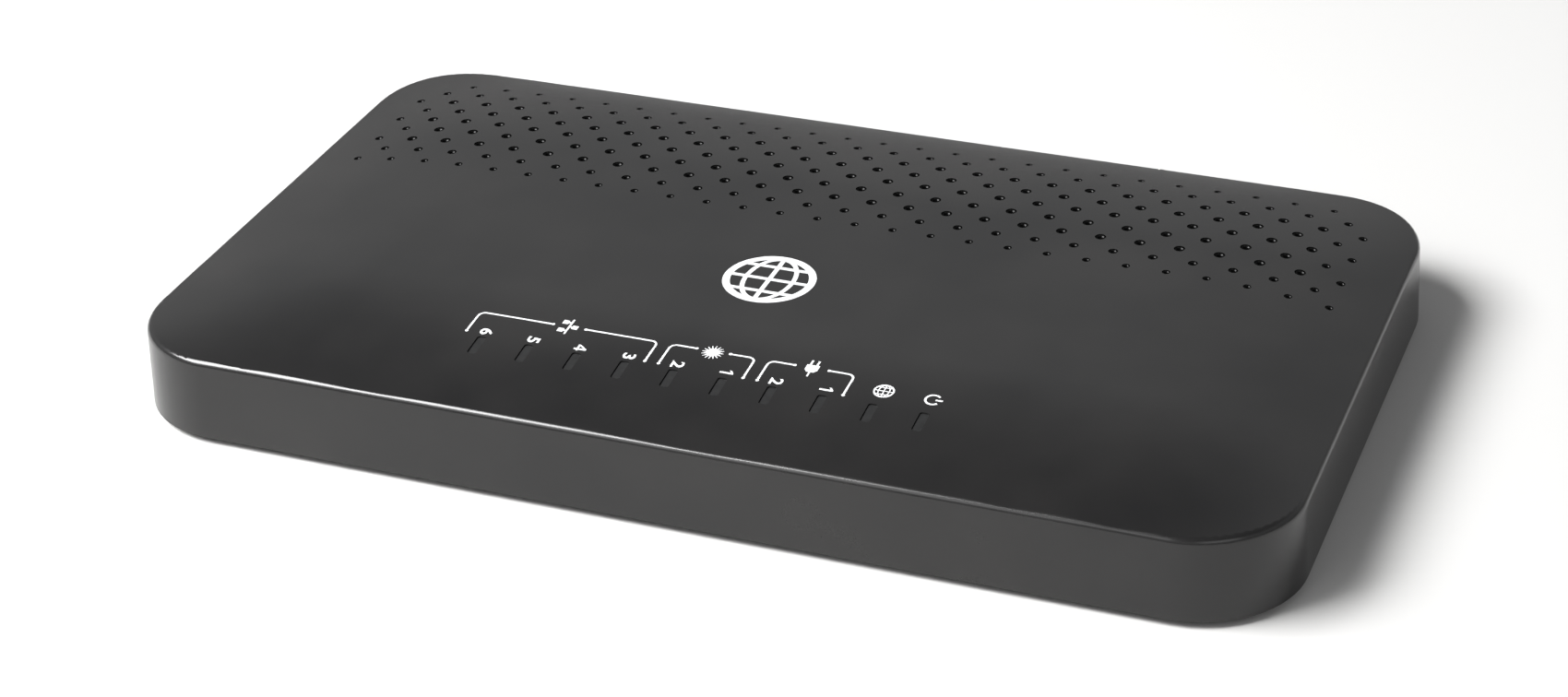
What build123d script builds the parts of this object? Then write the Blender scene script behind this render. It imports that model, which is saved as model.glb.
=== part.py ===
from build123d import *
import math
import os

os.makedirs("parts", exist_ok=True)

# A flat home gateway for a cable line: a crowned top cover over a flat base, one board between
# them, and every socket in a panel along the back. Millimetres. +Z is up, the lamps are towards
# -Y, the sockets face +Y. The origin is on the table, under the middle of the overall length.

# ---- Driving dimensions: the case
case_width = 231.5          # at the foot of the side walls
case_depth = 134.0
corner_radius = 20.7
wall_height = 16.4          # from the foot of the wall to the edge of the roof
wall_draft = 2.5            # degrees, each side leans in towards the top
crown_rise = 4.5            # the roof's flat middle stands this far above its edge
roll_x = 40.0               # width of the band over which the roof rolls down to each end
roll_y = 37.2               # and to the front and the back
edge_round = 1.5
wall = 2.2
roof = 2.0
foot_height = 1.4
base_thickness = 1.6
base_gap = 0.2              # between the base and the walls around it

# ---- Driving dimensions: the board and what it carries
board_thickness = 1.6
board_gap = 2.8             # under the board
port_axis = 9.55            # height of the sockets' middle above the table
coax_axis = 8.9             # and of the cable jack's, which is set lower
coax_reach = 7.2            # the cable jack stands this far out of the back

# ---- Driving dimensions: the row of lamps
lamp_count = 10
lamp_pitch = 9.87
lamp_width = 1.9
lamp_length = 5.3
lamp_inset = 18.5           # from the front edge to the middle of the lamps
lamp_gap = 0.08
lamp_corner = 0.5
lamp_recess = 0.25          # the windows lie this far under the roof

# ---- Driving dimensions: the panel and the places along the back, from -X to +X
panel_half = 94.0
panel_lap = 2.0
lan_x = -59.0
optical_x = (-18.0, 0.0)
usb_x = (20.0, 38.0)
coax_x = 55.5
reset_x = 66.0
dc_x = 75.5
button_x = 87.5

# ---- Driving dimensions: the buttons
power_travel = 2.0
power_cap_radius = 3.8
power_stand_out = 1.4       # the released power button beyond the back wall
reset_travel = 0.3
reset_hole_radius = 1.2

# ---- Fits
slip = 0.15                 # a piece that drops into a window or a notch
touch = 0.05                # two pieces that lie against each other
ease = 0.1                  # between faces that must not bear on each other
running = 0.08              # a plunger or a button in its guide, all round

# ---- Heights and lengths that follow
front_y = -(case_depth + coax_reach) / 2
back_y = front_y + case_depth
middle_y = (front_y + back_y) / 2
wall_foot = foot_height
edge_z = wall_foot + wall_height
floor_z = wall_foot + base_thickness
board_bottom = floor_z + board_gap
board_top = board_bottom + board_thickness
lean = math.tan(math.radians(wall_draft))
top_width = case_width - 2 * wall_height * lean
top_depth = case_depth - 2 * wall_height * lean
lamp_y = front_y + lamp_inset

ON_FLOOR = (Align.CENTER, Align.CENTER, Align.MIN)
HANGING = (Align.CENTER, Align.CENTER, Align.MAX)


def crown_height(x, y):
    """Height of the roof's outside over (x, y): flat in the middle, rolling down on all sides."""
    across = max(0.0, (abs(x) - (top_width / 2 - roll_x)) / roll_x)
    along = max(0.0, (abs(y - middle_y) - (top_depth / 2 - roll_y)) / roll_y)
    return edge_z + crown_rise * (1 - across**2) * (1 - along**2)


def space_above(drop):
    """Everything above the roof's outside, lowered by drop: the tool that shapes roof and ceiling."""
    steps_x, steps_y, margin = 48, 28, 3.0
    reach_x, reach_y = case_width / 2 + margin, case_depth / 2 + margin
    grid = []
    for column in range(steps_x + 1):
        x = reach_x * (2 * column / steps_x - 1)
        rows = [middle_y + reach_y * (2 * row / steps_y - 1) for row in range(steps_y + 1)]
        grid.append([Vector(x, y, crown_height(x, y) - drop) for y in rows])
    skin = Face.make_surface_from_array_of_points(grid)
    return extrude(skin, amount=3 * wall_height, dir=(0, 0, 1), mode=Mode.PRIVATE)


above_roof = space_above(0)
above_ceiling = space_above(roof)

# ---- Screw places and screws
screw_inset_x = 14.5
screw_inset_y = 14.5
case_screw_places = [
    (side * (case_width / 2 - screw_inset_x), y)
    for side in (-1, 1)
    for y in (front_y + screw_inset_y, back_y - screw_inset_y)
]
post_x = 86.0
post_front = 13.0
post_back = 36.0
board_screw_places = [
    (side * post_x, y) for side in (-1, 1) for y in (front_y + post_front, back_y - post_back)
]
screw_radius = 1.45
pilot_radius = screw_radius + touch
through_radius = 1.7
head_radius = 2.75
head_height = 1.8
head_clearance = 0.25
drive_radius = 0.95
drive_depth = 1.1
cup_radius = 4.4
cup_height = 3.8            # the base's screw cups, from the foot of the wall
cup_z = wall_foot + cup_height
head_pocket = 2.0
boss_radius = 3.6
case_screw_length = 9.0
case_screw_grip = head_pocket + case_screw_length - cup_height - ease

# ---- The panel window in the back wall
window_drop = 1.9           # the window's top is this far under the edge of the roof
window_bottom = floor_z + ease
window_top = edge_z - window_drop
flange_thickness = 1.2
plate_thickness = 1.7
flange_y = back_y - wall - (window_top - wall_foot) * lean - ease
panel_outer_y = flange_y + plate_thickness
panel_inner_y = flange_y - flange_thickness

# ---- Light guide, hung from two bosses beside the lamps
guide_rail_bottom = 14.6
guide_rail_height = 1.6
guide_rail_top = guide_rail_bottom + guide_rail_height
guide_ear_reach = 8.0       # from the last lamp to the screw
guide_ear_x = lamp_pitch * (lamp_count - 1) / 2 + guide_ear_reach
guide_boss_radius = 2.8
guide_screw_radius = 0.95
guide_screw_grip = 2.2
guide_screw_head_radius = 1.9
guide_screw_head_height = 1.3
lamp_places = [
    ((number - (lamp_count - 1) / 2) * lamp_pitch, lamp_y) for number in range(lamp_count)
]

# ---- The case's inside, from wall to wall and from the walls' feet to the ceiling
with BuildPart() as case_inside:
    with BuildSketch(Plane.XY.offset(wall_foot)):
        with Locations((0, middle_y)):
            RectangleRounded(case_width - 2 * wall, case_depth - 2 * wall, corner_radius - wall)
    extrude(amount=wall_height + crown_rise + edge_round, taper=wall_draft)
    add(above_ceiling, mode=Mode.SUBTRACT)

# ---- Top cover: roof and all four walls in one moulding, with the bosses that it is screwed by
with BuildPart() as top_cover:
    with BuildSketch(Plane.XY.offset(wall_foot)):
        with Locations((0, middle_y)):
            RectangleRounded(case_width, case_depth, corner_radius)
    extrude(amount=wall_height + crown_rise + edge_round, taper=wall_draft)
    add(above_roof, mode=Mode.SUBTRACT)
    fillet(top_cover.faces().sort_by(Axis.Z)[-1].edges(), radius=edge_round)
    add(case_inside.part, mode=Mode.SUBTRACT)
    for x, y in case_screw_places:
        with Locations((x, y, cup_z + ease)):
            Cylinder(boss_radius, crown_height(x, y) - roof / 2 - cup_z - ease, align=ON_FLOOR)
            Cylinder(pilot_radius, case_screw_grip + touch, align=ON_FLOOR, mode=Mode.SUBTRACT)
    for side in (-1, 1):
        x = side * guide_ear_x
        with Locations((x, lamp_y, guide_rail_top + touch)):
            boss_length = crown_height(x, lamp_y) - roof / 2 - guide_rail_top - touch
            Cylinder(guide_boss_radius, boss_length, align=ON_FLOOR)
            Cylinder(guide_screw_radius + touch, guide_screw_grip, align=ON_FLOOR, mode=Mode.SUBTRACT)
    # the slots for the lamps
    with BuildSketch(Plane.XY.offset(edge_z - roof)):
        with Locations(*lamp_places):
            RectangleRounded(lamp_width, lamp_length, lamp_corner)
    extrude(amount=roof + crown_rise + edge_round, mode=Mode.SUBTRACT)
    # the window for the panel, through the back wall only
    with BuildSketch(Plane.XZ.offset(-back_y)):
        with Locations((0, (window_bottom + window_top) / 2)):
            Rectangle(2 * panel_half, window_top - window_bottom)
    extrude(amount=back_y - flange_y + touch, mode=Mode.SUBTRACT)
top_cover.part.label = "top_cover"
export_step(top_cover.part, "parts/top_cover.step")

# ---- Base plate: drops inside the walls' feet, carries the board, the feet and the screws
base_width = case_width - 2 * (wall + base_gap + base_thickness * lean)
base_depth = case_depth - 2 * (wall + base_gap + base_thickness * lean)
foot_radius = 6.0
foot_pocket = 0.6
foot_inset_x = 30.0
foot_inset_y = 13.0
foot_places = [
    (side * (case_width / 2 - foot_inset_x), y)
    for side in (-1, 1)
    for y in (front_y + foot_inset_y, back_y - foot_inset_y)
]
post_radius = 3.2
vent_width = 2.0
vent_length = 20.0
vent_pitch = 5.0
vent_count = 13
vent_spread = 62.0          # between the middles of the two fields of vents
keyhole_spacing = 70.0
keyhole_x = 62.0
keyhole_radius = 4.0
keyhole_neck = 4.2
keyhole_run = 8.0           # from the round entry to the end of the neck, towards +X
keeper_width = 3.0
keeper_x = panel_half + panel_lap - keeper_width / 2
keeper_height = 7.0
keeper_thickness = 2.0
label_width = 76.0
label_depth = 30.0
label_recess = 0.3
base_chamfer = 0.4
foot_round = 0.5

with BuildPart() as base_plate:
    with BuildSketch(Plane.XY.offset(wall_foot)):
        with Locations((0, middle_y)):
            RectangleRounded(base_width, base_depth, corner_radius - wall - base_gap)
    extrude(amount=base_thickness)
    chamfer(base_plate.faces().sort_by(Axis.Z)[0].edges(), length=base_chamfer)
    with Locations(*[(x, y, wall_foot) for x, y in case_screw_places]):
        Cylinder(cup_radius, cup_height, align=ON_FLOOR)
        Cylinder(through_radius, cup_height, align=ON_FLOOR, mode=Mode.SUBTRACT)
        Cylinder(head_radius + head_clearance, head_pocket, align=ON_FLOOR, mode=Mode.SUBTRACT)
    with Locations(*[(x, y, floor_z) for x, y in board_screw_places]):
        Cylinder(post_radius, board_gap, align=ON_FLOOR)
        Cylinder(pilot_radius, board_gap, align=ON_FLOOR, mode=Mode.SUBTRACT)
    with Locations(*[(x, y, wall_foot) for x, y in foot_places]):
        Cylinder(foot_radius + slip, foot_pocket, align=ON_FLOOR, mode=Mode.SUBTRACT)
    # two low ribs that keep the panel against the back wall
    with Locations(*[(side * keeper_x, panel_inner_y - touch, floor_z) for side in (-1, 1)]):
        Box(keeper_width, keeper_thickness, keeper_height, align=(Align.CENTER, Align.MAX, Align.MIN))
    # two fields of vents
    with BuildSketch(Plane.XY.offset(wall_foot)):
        with Locations((0, middle_y - vent_spread / 2), (0, middle_y + vent_spread / 2)):
            with GridLocations(vent_pitch, 1, vent_count, 1):
                SlotOverall(vent_length, vent_width, rotation=90)
    extrude(amount=base_thickness, mode=Mode.SUBTRACT)
    # two keyholes for hanging the case on a wall with its +X end up
    with BuildSketch(Plane.XY.offset(wall_foot)):
        with Locations(*[(keyhole_x, middle_y + side * keyhole_spacing / 2) for side in (-1, 1)]):
            Circle(keyhole_radius)
            with Locations((keyhole_run / 2, 0)):
                SlotOverall(keyhole_run + keyhole_neck, keyhole_neck)
    extrude(amount=base_thickness, mode=Mode.SUBTRACT)
    # a shallow bare recess in the middle of the underside
    with Locations((0, middle_y, wall_foot)):
        Box(label_width, label_depth, label_recess, align=ON_FLOOR, mode=Mode.SUBTRACT)
base_plate.part.label = "base_plate"
export_step(base_plate.part, "parts/base_plate.step")

# ---- Rubber feet, stuck in the base's pockets
with BuildPart() as rubber_feet:
    with Locations(*[(x, y, 0) for x, y in foot_places]):
        Cylinder(foot_radius, foot_height + foot_pocket, align=ON_FLOOR)
    fillet(rubber_feet.edges().group_by(Axis.Z)[0], radius=foot_round)
rubber_feet.part.label = "rubber_feet"
export_step(rubber_feet.part, "parts/rubber_feet.step")

# ---- Screws from below, through the base's cups into the cover's bosses
with BuildPart() as case_screws:
    for x, y in case_screw_places:
        with Locations((x, y, wall_foot + head_pocket - head_height)):
            Cylinder(head_radius, head_height, align=ON_FLOOR)
            Cylinder(drive_radius, drive_depth, align=ON_FLOOR, mode=Mode.SUBTRACT)
        with Locations((x, y, wall_foot + head_pocket)):
            Cylinder(screw_radius, case_screw_length, align=ON_FLOOR)
case_screws.part.label = "case_screws"
export_step(case_screws.part, "parts/case_screws.step")

# ---- Rear panel: a plate that fills the window, with a wider flange behind the back wall
port_face_y = panel_outer_y - ease
panel_middle_z = (window_bottom + window_top) / 2
flange_bottom = floor_z + touch
flange_top = crown_height(panel_half + panel_lap, flange_y) - roof - touch
sheet = 0.3                 # stamped steel of the shells and shields

lan_ports = 4
lan_pitch = 14.0
lan_end_wall = 0.4          # beyond the last socket's share of the pitch
lan_width = lan_ports * lan_pitch + 2 * lan_end_wall
lan_height = 10.4
lan_depth = 16.0
lan_bottom = port_axis - lan_height / 2
lan_shield_top = lan_bottom + lan_height + touch + sheet
lan_places = [lan_x + (number - (lan_ports - 1) / 2) * lan_pitch for number in range(lan_ports)]

optical_width = 12.8
optical_height = 9.4
optical_depth = 20.0

usb_width = 13.3
usb_height = 6.0
usb_depth = 13.8
usb_z = board_top + touch + usb_height / 2

coax_radius = 4.75
dc_nose_radius = 4.2

switch_width = 8.4
switch_height = 7.4
switch_depth = 12.0
power_z = board_top + touch + switch_height / 2
reset_lift = 2.5
reset_z = board_top + touch + reset_lift

with BuildPart() as rear_panel:
    with BuildSketch(Plane.XZ.offset(-panel_outer_y)):
        with Locations((0, panel_middle_z)):
            Rectangle(2 * (panel_half - slip), window_top - window_bottom - 2 * slip)
    extrude(amount=plate_thickness)
    with BuildSketch(Plane.XZ.offset(-flange_y)):
        with Locations((0, (flange_bottom + flange_top) / 2)):
            Rectangle(2 * (panel_half + panel_lap), flange_top - flange_bottom)
    extrude(amount=flange_thickness)
    with BuildSketch(Plane.XZ.offset(-panel_outer_y)):
        with Locations((lan_x, (lan_bottom + lan_shield_top) / 2)):
            lan_hole_width = lan_width + 2 * (touch + sheet + slip)
            Rectangle(lan_hole_width, lan_shield_top - lan_bottom + 2 * slip)
        with Locations(*[(x, port_axis) for x in optical_x]):
            Rectangle(optical_width + 2 * slip, optical_height + 2 * slip)
        with Locations(*[(x, usb_z) for x in usb_x]):
            Rectangle(usb_width + 2 * slip, usb_height + 2 * slip)
        with Locations((coax_x, coax_axis)):
            Circle(coax_radius + slip)
        with Locations((dc_x, port_axis)):
            Circle(dc_nose_radius + slip)
        with Locations((button_x, power_z)):
            Circle(power_cap_radius + running)
        with Locations((reset_x, reset_z)):
            Circle(reset_hole_radius)
    extrude(amount=plate_thickness + flange_thickness, mode=Mode.SUBTRACT)
rear_panel.part.label = "rear_panel"
export_step(rear_panel.part, "parts/rear_panel.step")

# ---- Main board, with notches at its back edge for the sockets that are sunk into it
board_side_gap = 0.6        # to the cover's bosses
board_front_gap = 6.5
board_back_gap = 8.0        # from the back of the case
board_width = case_width - 2 * (screw_inset_x + boss_radius + board_side_gap)
board_front = front_y + board_front_gap
board_back = back_y - board_back_gap
board_middle_y = (board_front + board_back) / 2

optical_module_radius = 3.2
optical_module_length = 8.0
coax_body = 11.0
coax_body_depth = 12.0
dc_body_width = 9.0
dc_body_height = 9.6
dc_body_depth = 12.0
block_front_y = panel_inner_y - touch
shroud_pin_radius = 0.9
shroud_pin_x = (lamp_places[-1][0] + lamp_places[-2][0]) / 2
board_corner = 2.0

notches = [
    (lan_x, lan_width + 2 * (touch + sheet), port_face_y - lan_depth - touch - sheet),
    (coax_x, coax_body, block_front_y - coax_body_depth),
    (dc_x, dc_body_width, block_front_y - dc_body_depth),
]
for x in optical_x:
    notches.append((x, optical_width, port_face_y - optical_depth - optical_module_length))

with BuildPart() as main_board:
    with BuildSketch(Plane.XY.offset(board_bottom)):
        with Locations((0, board_middle_y)):
            RectangleRounded(board_width, board_back - board_front, board_corner)
        for x, width, end_y in notches:
            with Locations((x, end_y - slip)):
                Rectangle(
                    width + 2 * slip,
                    board_back - end_y + 2 * slip,
                    align=(Align.CENTER, Align.MIN),
                    mode=Mode.SUBTRACT,
                )
        with Locations(*board_screw_places):
            Circle(screw_radius + slip, mode=Mode.SUBTRACT)
        with Locations(*[(side * shroud_pin_x, lamp_y) for side in (-1, 1)]):
            Circle(shroud_pin_radius + touch, mode=Mode.SUBTRACT)
    extrude(amount=board_thickness)
main_board.part.label = "main_board"
export_step(main_board.part, "parts/main_board.step")

# ---- Screws that hold the board on the base's posts
board_screw_grip = 2.6
with BuildPart() as board_screws:
    with Locations(*[(x, y, board_top) for x, y in board_screw_places]):
        Cylinder(head_radius, head_height, align=ON_FLOOR)
        Cylinder(screw_radius, board_thickness + board_screw_grip, align=HANGING)
    with Locations(*[(x, y, board_top + head_height) for x, y in board_screw_places]):
        Cylinder(drive_radius, drive_depth, align=HANGING, mode=Mode.SUBTRACT)
board_screws.part.label = "board_screws"
export_step(board_screws.part, "parts/board_screws.step")

# ---- Lamps: ten on the board, and over them a black divider with a well for each
led_width, led_length, led_height = 1.6, 3.2, 0.9
with BuildPart() as lamp_leds:
    with Locations(*[(x, y, board_top) for x, y in lamp_places]):
        Box(led_width, led_length, led_height, align=ON_FLOOR)
lamp_leds.part.label = "lamp_leds"
export_step(lamp_leds.part, "parts/lamp_leds.step")

well_gap = 0.3
divider_wall = 1.6
row_width = lamp_pitch * (lamp_count - 1) + lamp_width
with BuildPart() as lamp_divider:
    with Locations((0, lamp_y, board_top + touch)):
        divider_height = guide_rail_bottom - touch - board_top - touch
        Box(row_width + 2 * divider_wall, lamp_length + 2 * divider_wall, divider_height, align=ON_FLOOR)
    with Locations(*[(x, y, board_top) for x, y in lamp_places]):
        Box(
            lamp_width + 2 * well_gap,
            lamp_length + 2 * well_gap,
            guide_rail_bottom - board_top,
            align=ON_FLOOR,
            mode=Mode.SUBTRACT,
        )
    with Locations(*[(side * shroud_pin_x, lamp_y, board_top + touch) for side in (-1, 1)]):
        Cylinder(shroud_pin_radius, board_thickness + touch, align=HANGING)
lamp_divider.part.label = "lamp_divider"
export_step(lamp_divider.part, "parts/lamp_divider.step")

# ---- Light guide: ten clear prongs on one rail, each ending just inside its slot in the roof
prong_width = lamp_width - 2 * lamp_gap
prong_length = lamp_length - 2 * lamp_gap
guide_ear_radius = 3.0
guide_led_gap = 0.5
with BuildPart() as light_guide:
    with BuildSketch(Plane.XY.offset(board_top + led_height + guide_led_gap)):
        with Locations(*lamp_places):
            RectangleRounded(prong_width, prong_length, lamp_corner - lamp_gap)
    extrude(amount=edge_z + crown_rise - board_top)
    add(above_roof.moved(Location((0, 0, -lamp_recess))), mode=Mode.SUBTRACT)
    with BuildSketch(Plane.XY.offset(guide_rail_bottom)):
        with Locations((0, lamp_y)):
            Rectangle(2 * guide_ear_x, prong_length)
        with Locations(*[(side * guide_ear_x, lamp_y) for side in (-1, 1)]):
            Circle(guide_ear_radius)
            Circle(guide_screw_radius + slip, mode=Mode.SUBTRACT)
    extrude(amount=guide_rail_height)
light_guide.part.label = "light_guide"
export_step(light_guide.part, "parts/light_guide.step")

with BuildPart() as guide_screws:
    with Locations(*[(side * guide_ear_x, lamp_y, guide_rail_bottom) for side in (-1, 1)]):
        Cylinder(guide_screw_head_radius, guide_screw_head_height, align=HANGING)
        Cylinder(guide_screw_radius, guide_rail_height + guide_screw_grip - 2 * touch, align=ON_FLOOR)
guide_screws.part.label = "guide_screws"
export_step(guide_screws.part, "parts/guide_screws.step")

# ---- Four network sockets moulded as one block, sunk into the board
plug_width = 11.7
plug_height = 6.9
plug_depth = 13.0
block_roof = 0.8
latch_width, latch_drop = 6.2, 1.5
latch_tip_width, latch_tip_drop = 3.4, 0.6
plug_top = lan_bottom + lan_height - block_roof
plug_bottom = plug_top - plug_height
with BuildPart() as lan_socket_block:
    with BuildSketch(Plane.XZ.offset(-port_face_y)):
        with Locations((lan_x, port_axis)):
            Rectangle(lan_width, lan_height)
    extrude(amount=lan_depth)
    with BuildSketch(Plane.XZ.offset(-port_face_y)):
        for x in lan_places:
            with Locations((x, plug_bottom)):
                Rectangle(plug_width, plug_height, align=(Align.CENTER, Align.MIN))
                Rectangle(latch_width, latch_drop, align=(Align.CENTER, Align.MAX))
            with Locations((x, plug_bottom - latch_drop)):
                Rectangle(latch_tip_width, latch_tip_drop, align=(Align.CENTER, Align.MAX))
    extrude(amount=plug_depth, mode=Mode.SUBTRACT)
lan_socket_block.part.label = "lan_socket_block"
export_step(lan_socket_block.part, "parts/lan_socket_block.step")

# ---- The steel shield over the block: roof, two ends and back, open at the front and below
shield_setback = 0.6
with BuildPart() as lan_socket_shield:
    with BuildSketch(Plane.XZ.offset(-(port_face_y - shield_setback))):
        with Locations((lan_x, lan_shield_top)):
            Rectangle(
                lan_width + 2 * (touch + sheet), lan_height, align=(Align.CENTER, Align.MAX)
            )
    extrude(amount=lan_depth - shield_setback + touch + sheet)
    with BuildSketch(Plane.XZ.offset(-port_face_y)):
        with Locations((lan_x, lan_shield_top - sheet)):
            Rectangle(lan_width + 2 * touch, lan_height + sheet, align=(Align.CENTER, Align.MAX))
    extrude(amount=lan_depth + touch, mode=Mode.SUBTRACT)
lan_socket_shield.part.label = "lan_socket_shield"
export_step(lan_socket_shield.part, "parts/lan_socket_shield.step")

# ---- Eight sprung wires in each socket, folding down from its ceiling
wire_pitch = 1.02
wire_count = 8
wire_width = 0.36
wire_front, wire_bend, wire_end = 1.6, 2.6, 9.0     # behind the block's face
wire_drop = 2.4
with BuildPart() as lan_socket_wires:
    for x in lan_places:
        for number in range(wire_count):
            wire_x = x + (number - (wire_count - 1) / 2) * wire_pitch
            with BuildSketch(Plane.YZ.offset(wire_x)):
                with BuildLine():
                    Polyline(
                        (port_face_y - wire_front, plug_top - touch),
                        (port_face_y - wire_bend - wire_width / 2, plug_top - touch),
                        (port_face_y - wire_end, plug_top - wire_drop + wire_width),
                        (port_face_y - wire_end, plug_top - wire_drop),
                        (port_face_y - wire_bend, plug_top - touch - wire_width),
                        (port_face_y - wire_front, plug_top - touch - wire_width),
                        close=True,
                    )
                make_face()
            extrude(amount=wire_width / 2, both=True)
lan_socket_wires.part.label = "lan_socket_wires"
export_step(lan_socket_wires.part, "parts/lan_socket_wires.step")

# ---- Two optical sockets, each a plastic housing with a ceramic sleeve and a module behind it
optical_plug_width = 9.2
optical_plug_height = 7.6
optical_plug_depth = 13.0
key_width, key_height = 2.4, 0.5
sleeve_radius = 2.3
ferrule_radius = 1.26
sleeve_setback = 5.2
for number, x in enumerate(optical_x):
    with BuildPart() as optical_socket:
        with BuildSketch(Plane.XZ.offset(-port_face_y)):
            with Locations((x, port_axis)):
                Rectangle(optical_width, optical_height)
        extrude(amount=optical_depth)
        with BuildSketch(Plane.XZ.offset(-port_face_y)):
            with Locations((x, port_axis)):
                Rectangle(optical_plug_width, optical_plug_height)
            with Locations((x, port_axis + optical_plug_height / 2)):
                Rectangle(key_width, 2 * key_height)
        extrude(amount=optical_plug_depth, mode=Mode.SUBTRACT)
        with BuildSketch(Plane.XZ.offset(-port_face_y)):
            with Locations((x, port_axis)):
                Circle(sleeve_radius + touch)
        extrude(amount=optical_depth, mode=Mode.SUBTRACT)
    socket_name = f"optical_socket_{number + 1}"
    optical_socket.part.label = socket_name
    export_step(optical_socket.part, f"parts/{socket_name}.step")

with BuildPart() as optical_sleeves:
    with BuildSketch(Plane.XZ.offset(-(port_face_y - sleeve_setback))):
        with Locations(*[(x, port_axis) for x in optical_x]):
            Circle(sleeve_radius)
            Circle(ferrule_radius, mode=Mode.SUBTRACT)
    extrude(amount=optical_depth - sleeve_setback - touch)
optical_sleeves.part.label = "optical_sleeves"
export_step(optical_sleeves.part, "parts/optical_sleeves.step")

with BuildPart() as optical_modules:
    with BuildSketch(Plane.XZ.offset(-(port_face_y - optical_depth - touch))):
        with Locations(*[(x, port_axis) for x in optical_x]):
            Circle(optical_module_radius)
    extrude(amount=optical_module_length - touch)
optical_modules.part.label = "optical_modules"
export_step(optical_modules.part, "parts/optical_modules.step")

# ---- Two serial bus sockets: a folded steel shell, and a tongue that carries the contacts
tongue_width = 11.2
tongue_thickness = 1.9
tongue_setback = 1.2
tongue_root = 3.0
tongue_lift = 0.75
tongue_z = usb_z + tongue_lift
contact_pitch = 2.4
contact_count = 4
contact_width, contact_thickness, contact_length = 1.0, 0.16, 6.5
contact_setback = 1.0
for number, x in enumerate(usb_x):
    with BuildPart() as usb_shell:
        with BuildSketch(Plane.XZ.offset(-port_face_y)):
            with Locations((x, usb_z)):
                Rectangle(usb_width, usb_height)
        extrude(amount=usb_depth)
        with BuildSketch(Plane.XZ.offset(-port_face_y)):
            with Locations((x, usb_z)):
                Rectangle(usb_width - 2 * sheet, usb_height - 2 * sheet)
        extrude(amount=usb_depth - sheet, mode=Mode.SUBTRACT)
    shell_name = f"usb_{number + 1}_shell"
    usb_shell.part.label = shell_name
    export_step(usb_shell.part, f"parts/{shell_name}.step")

    with BuildPart() as usb_tongue:
        with BuildSketch(Plane.XZ.offset(-(port_face_y - tongue_setback))):
            with Locations((x, tongue_z)):
                Rectangle(tongue_width, tongue_thickness)
        extrude(amount=usb_depth - sheet - tongue_setback - touch)
        with BuildSketch(Plane.XZ.offset(-(port_face_y - usb_depth + sheet + tongue_root))):
            with Locations((x, usb_z)):
                Rectangle(usb_width - 2 * sheet - 2 * touch, usb_height - 2 * sheet - 2 * touch)
        extrude(amount=tongue_root - touch)
    tongue_name = f"usb_{number + 1}_tongue"
    usb_tongue.part.label = tongue_name
    export_step(usb_tongue.part, f"parts/{tongue_name}.step")

with BuildPart() as usb_contacts:
    for x in usb_x:
        with BuildSketch(Plane.XZ.offset(-(port_face_y - tongue_setback - contact_setback))):
            with Locations((x, tongue_z - (tongue_thickness + contact_thickness) / 2 - touch)):
                with GridLocations(contact_pitch, 1, contact_count, 1):
                    Rectangle(contact_width, contact_thickness)
        extrude(amount=contact_length)
usb_contacts.part.label = "usb_contacts"
export_step(usb_contacts.part, "parts/usb_contacts.step")

# ---- Cable jack: a die-cast body whose threaded barrel passes through the panel
barrel_bore = 3.6
insulator_length = 7.5
insulator_setback = 0.8
probe_hole = 0.8
contact_sink = 1.0
probe_wall = 0.25
thread_depth = 0.45         # under the nut the barrel is drawn at the root of its thread
barrel_chamfer = 0.5
washer_thickness = 0.5
nut_thickness = 2.2
nut_flats = 11.0
coax_tip_y = back_y + coax_reach
washer_front_y = panel_outer_y + touch + washer_thickness
nut_front_y = washer_front_y + touch + nut_thickness
thread_start_y = nut_front_y + touch
with BuildPart() as coax_jack:
    with BuildSketch(Plane.XZ.offset(-block_front_y)):
        with Locations((coax_x, coax_axis)):
            Rectangle(coax_body, coax_body)
    extrude(amount=coax_body_depth)
    with BuildSketch(Plane.XZ.offset(-thread_start_y)):
        with Locations((coax_x, coax_axis)):
            Circle(coax_radius - thread_depth)
    extrude(amount=thread_start_y - block_front_y)
    with BuildSketch(Plane.XZ.offset(-coax_tip_y)):
        with Locations((coax_x, coax_axis)):
            Circle(coax_radius)
    extrude(amount=coax_tip_y - thread_start_y)
    chamfer(coax_jack.faces().sort_by(Axis.Y)[-1].edges(), length=barrel_chamfer)
    with BuildSketch(Plane.XZ.offset(-coax_tip_y)):
        with Locations((coax_x, coax_axis)):
            Circle(barrel_bore)
    extrude(amount=insulator_setback + insulator_length + touch, mode=Mode.SUBTRACT)
coax_jack.part.label = "coax_jack"
export_step(coax_jack.part, "parts/coax_jack.step")

with BuildPart() as coax_insulator:
    with BuildSketch(Plane.XZ.offset(-(coax_tip_y - insulator_setback))):
        with Locations((coax_x, coax_axis)):
            Circle(barrel_bore - touch)
            Circle(probe_hole + touch, mode=Mode.SUBTRACT)
    extrude(amount=insulator_length)
coax_insulator.part.label = "coax_insulator"
export_step(coax_insulator.part, "parts/coax_insulator.step")

with BuildPart() as coax_contact:
    with BuildSketch(Plane.XZ.offset(-(coax_tip_y - insulator_setback - contact_sink))):
        with Locations((coax_x, coax_axis)):
            Circle(probe_hole)
            Circle(probe_hole - probe_wall, mode=Mode.SUBTRACT)
    extrude(amount=insulator_length - contact_sink)
coax_contact.part.label = "coax_contact"
export_step(coax_contact.part, "parts/coax_contact.step")

with BuildPart() as coax_washer:
    with BuildSketch(Plane.XZ.offset(-washer_front_y)):
        with Locations((coax_x, coax_axis)):
            Circle(nut_flats / 2)
            Circle(coax_radius + slip, mode=Mode.SUBTRACT)
    extrude(amount=washer_thickness)
coax_washer.part.label = "coax_washer"
export_step(coax_washer.part, "parts/coax_washer.step")

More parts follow.
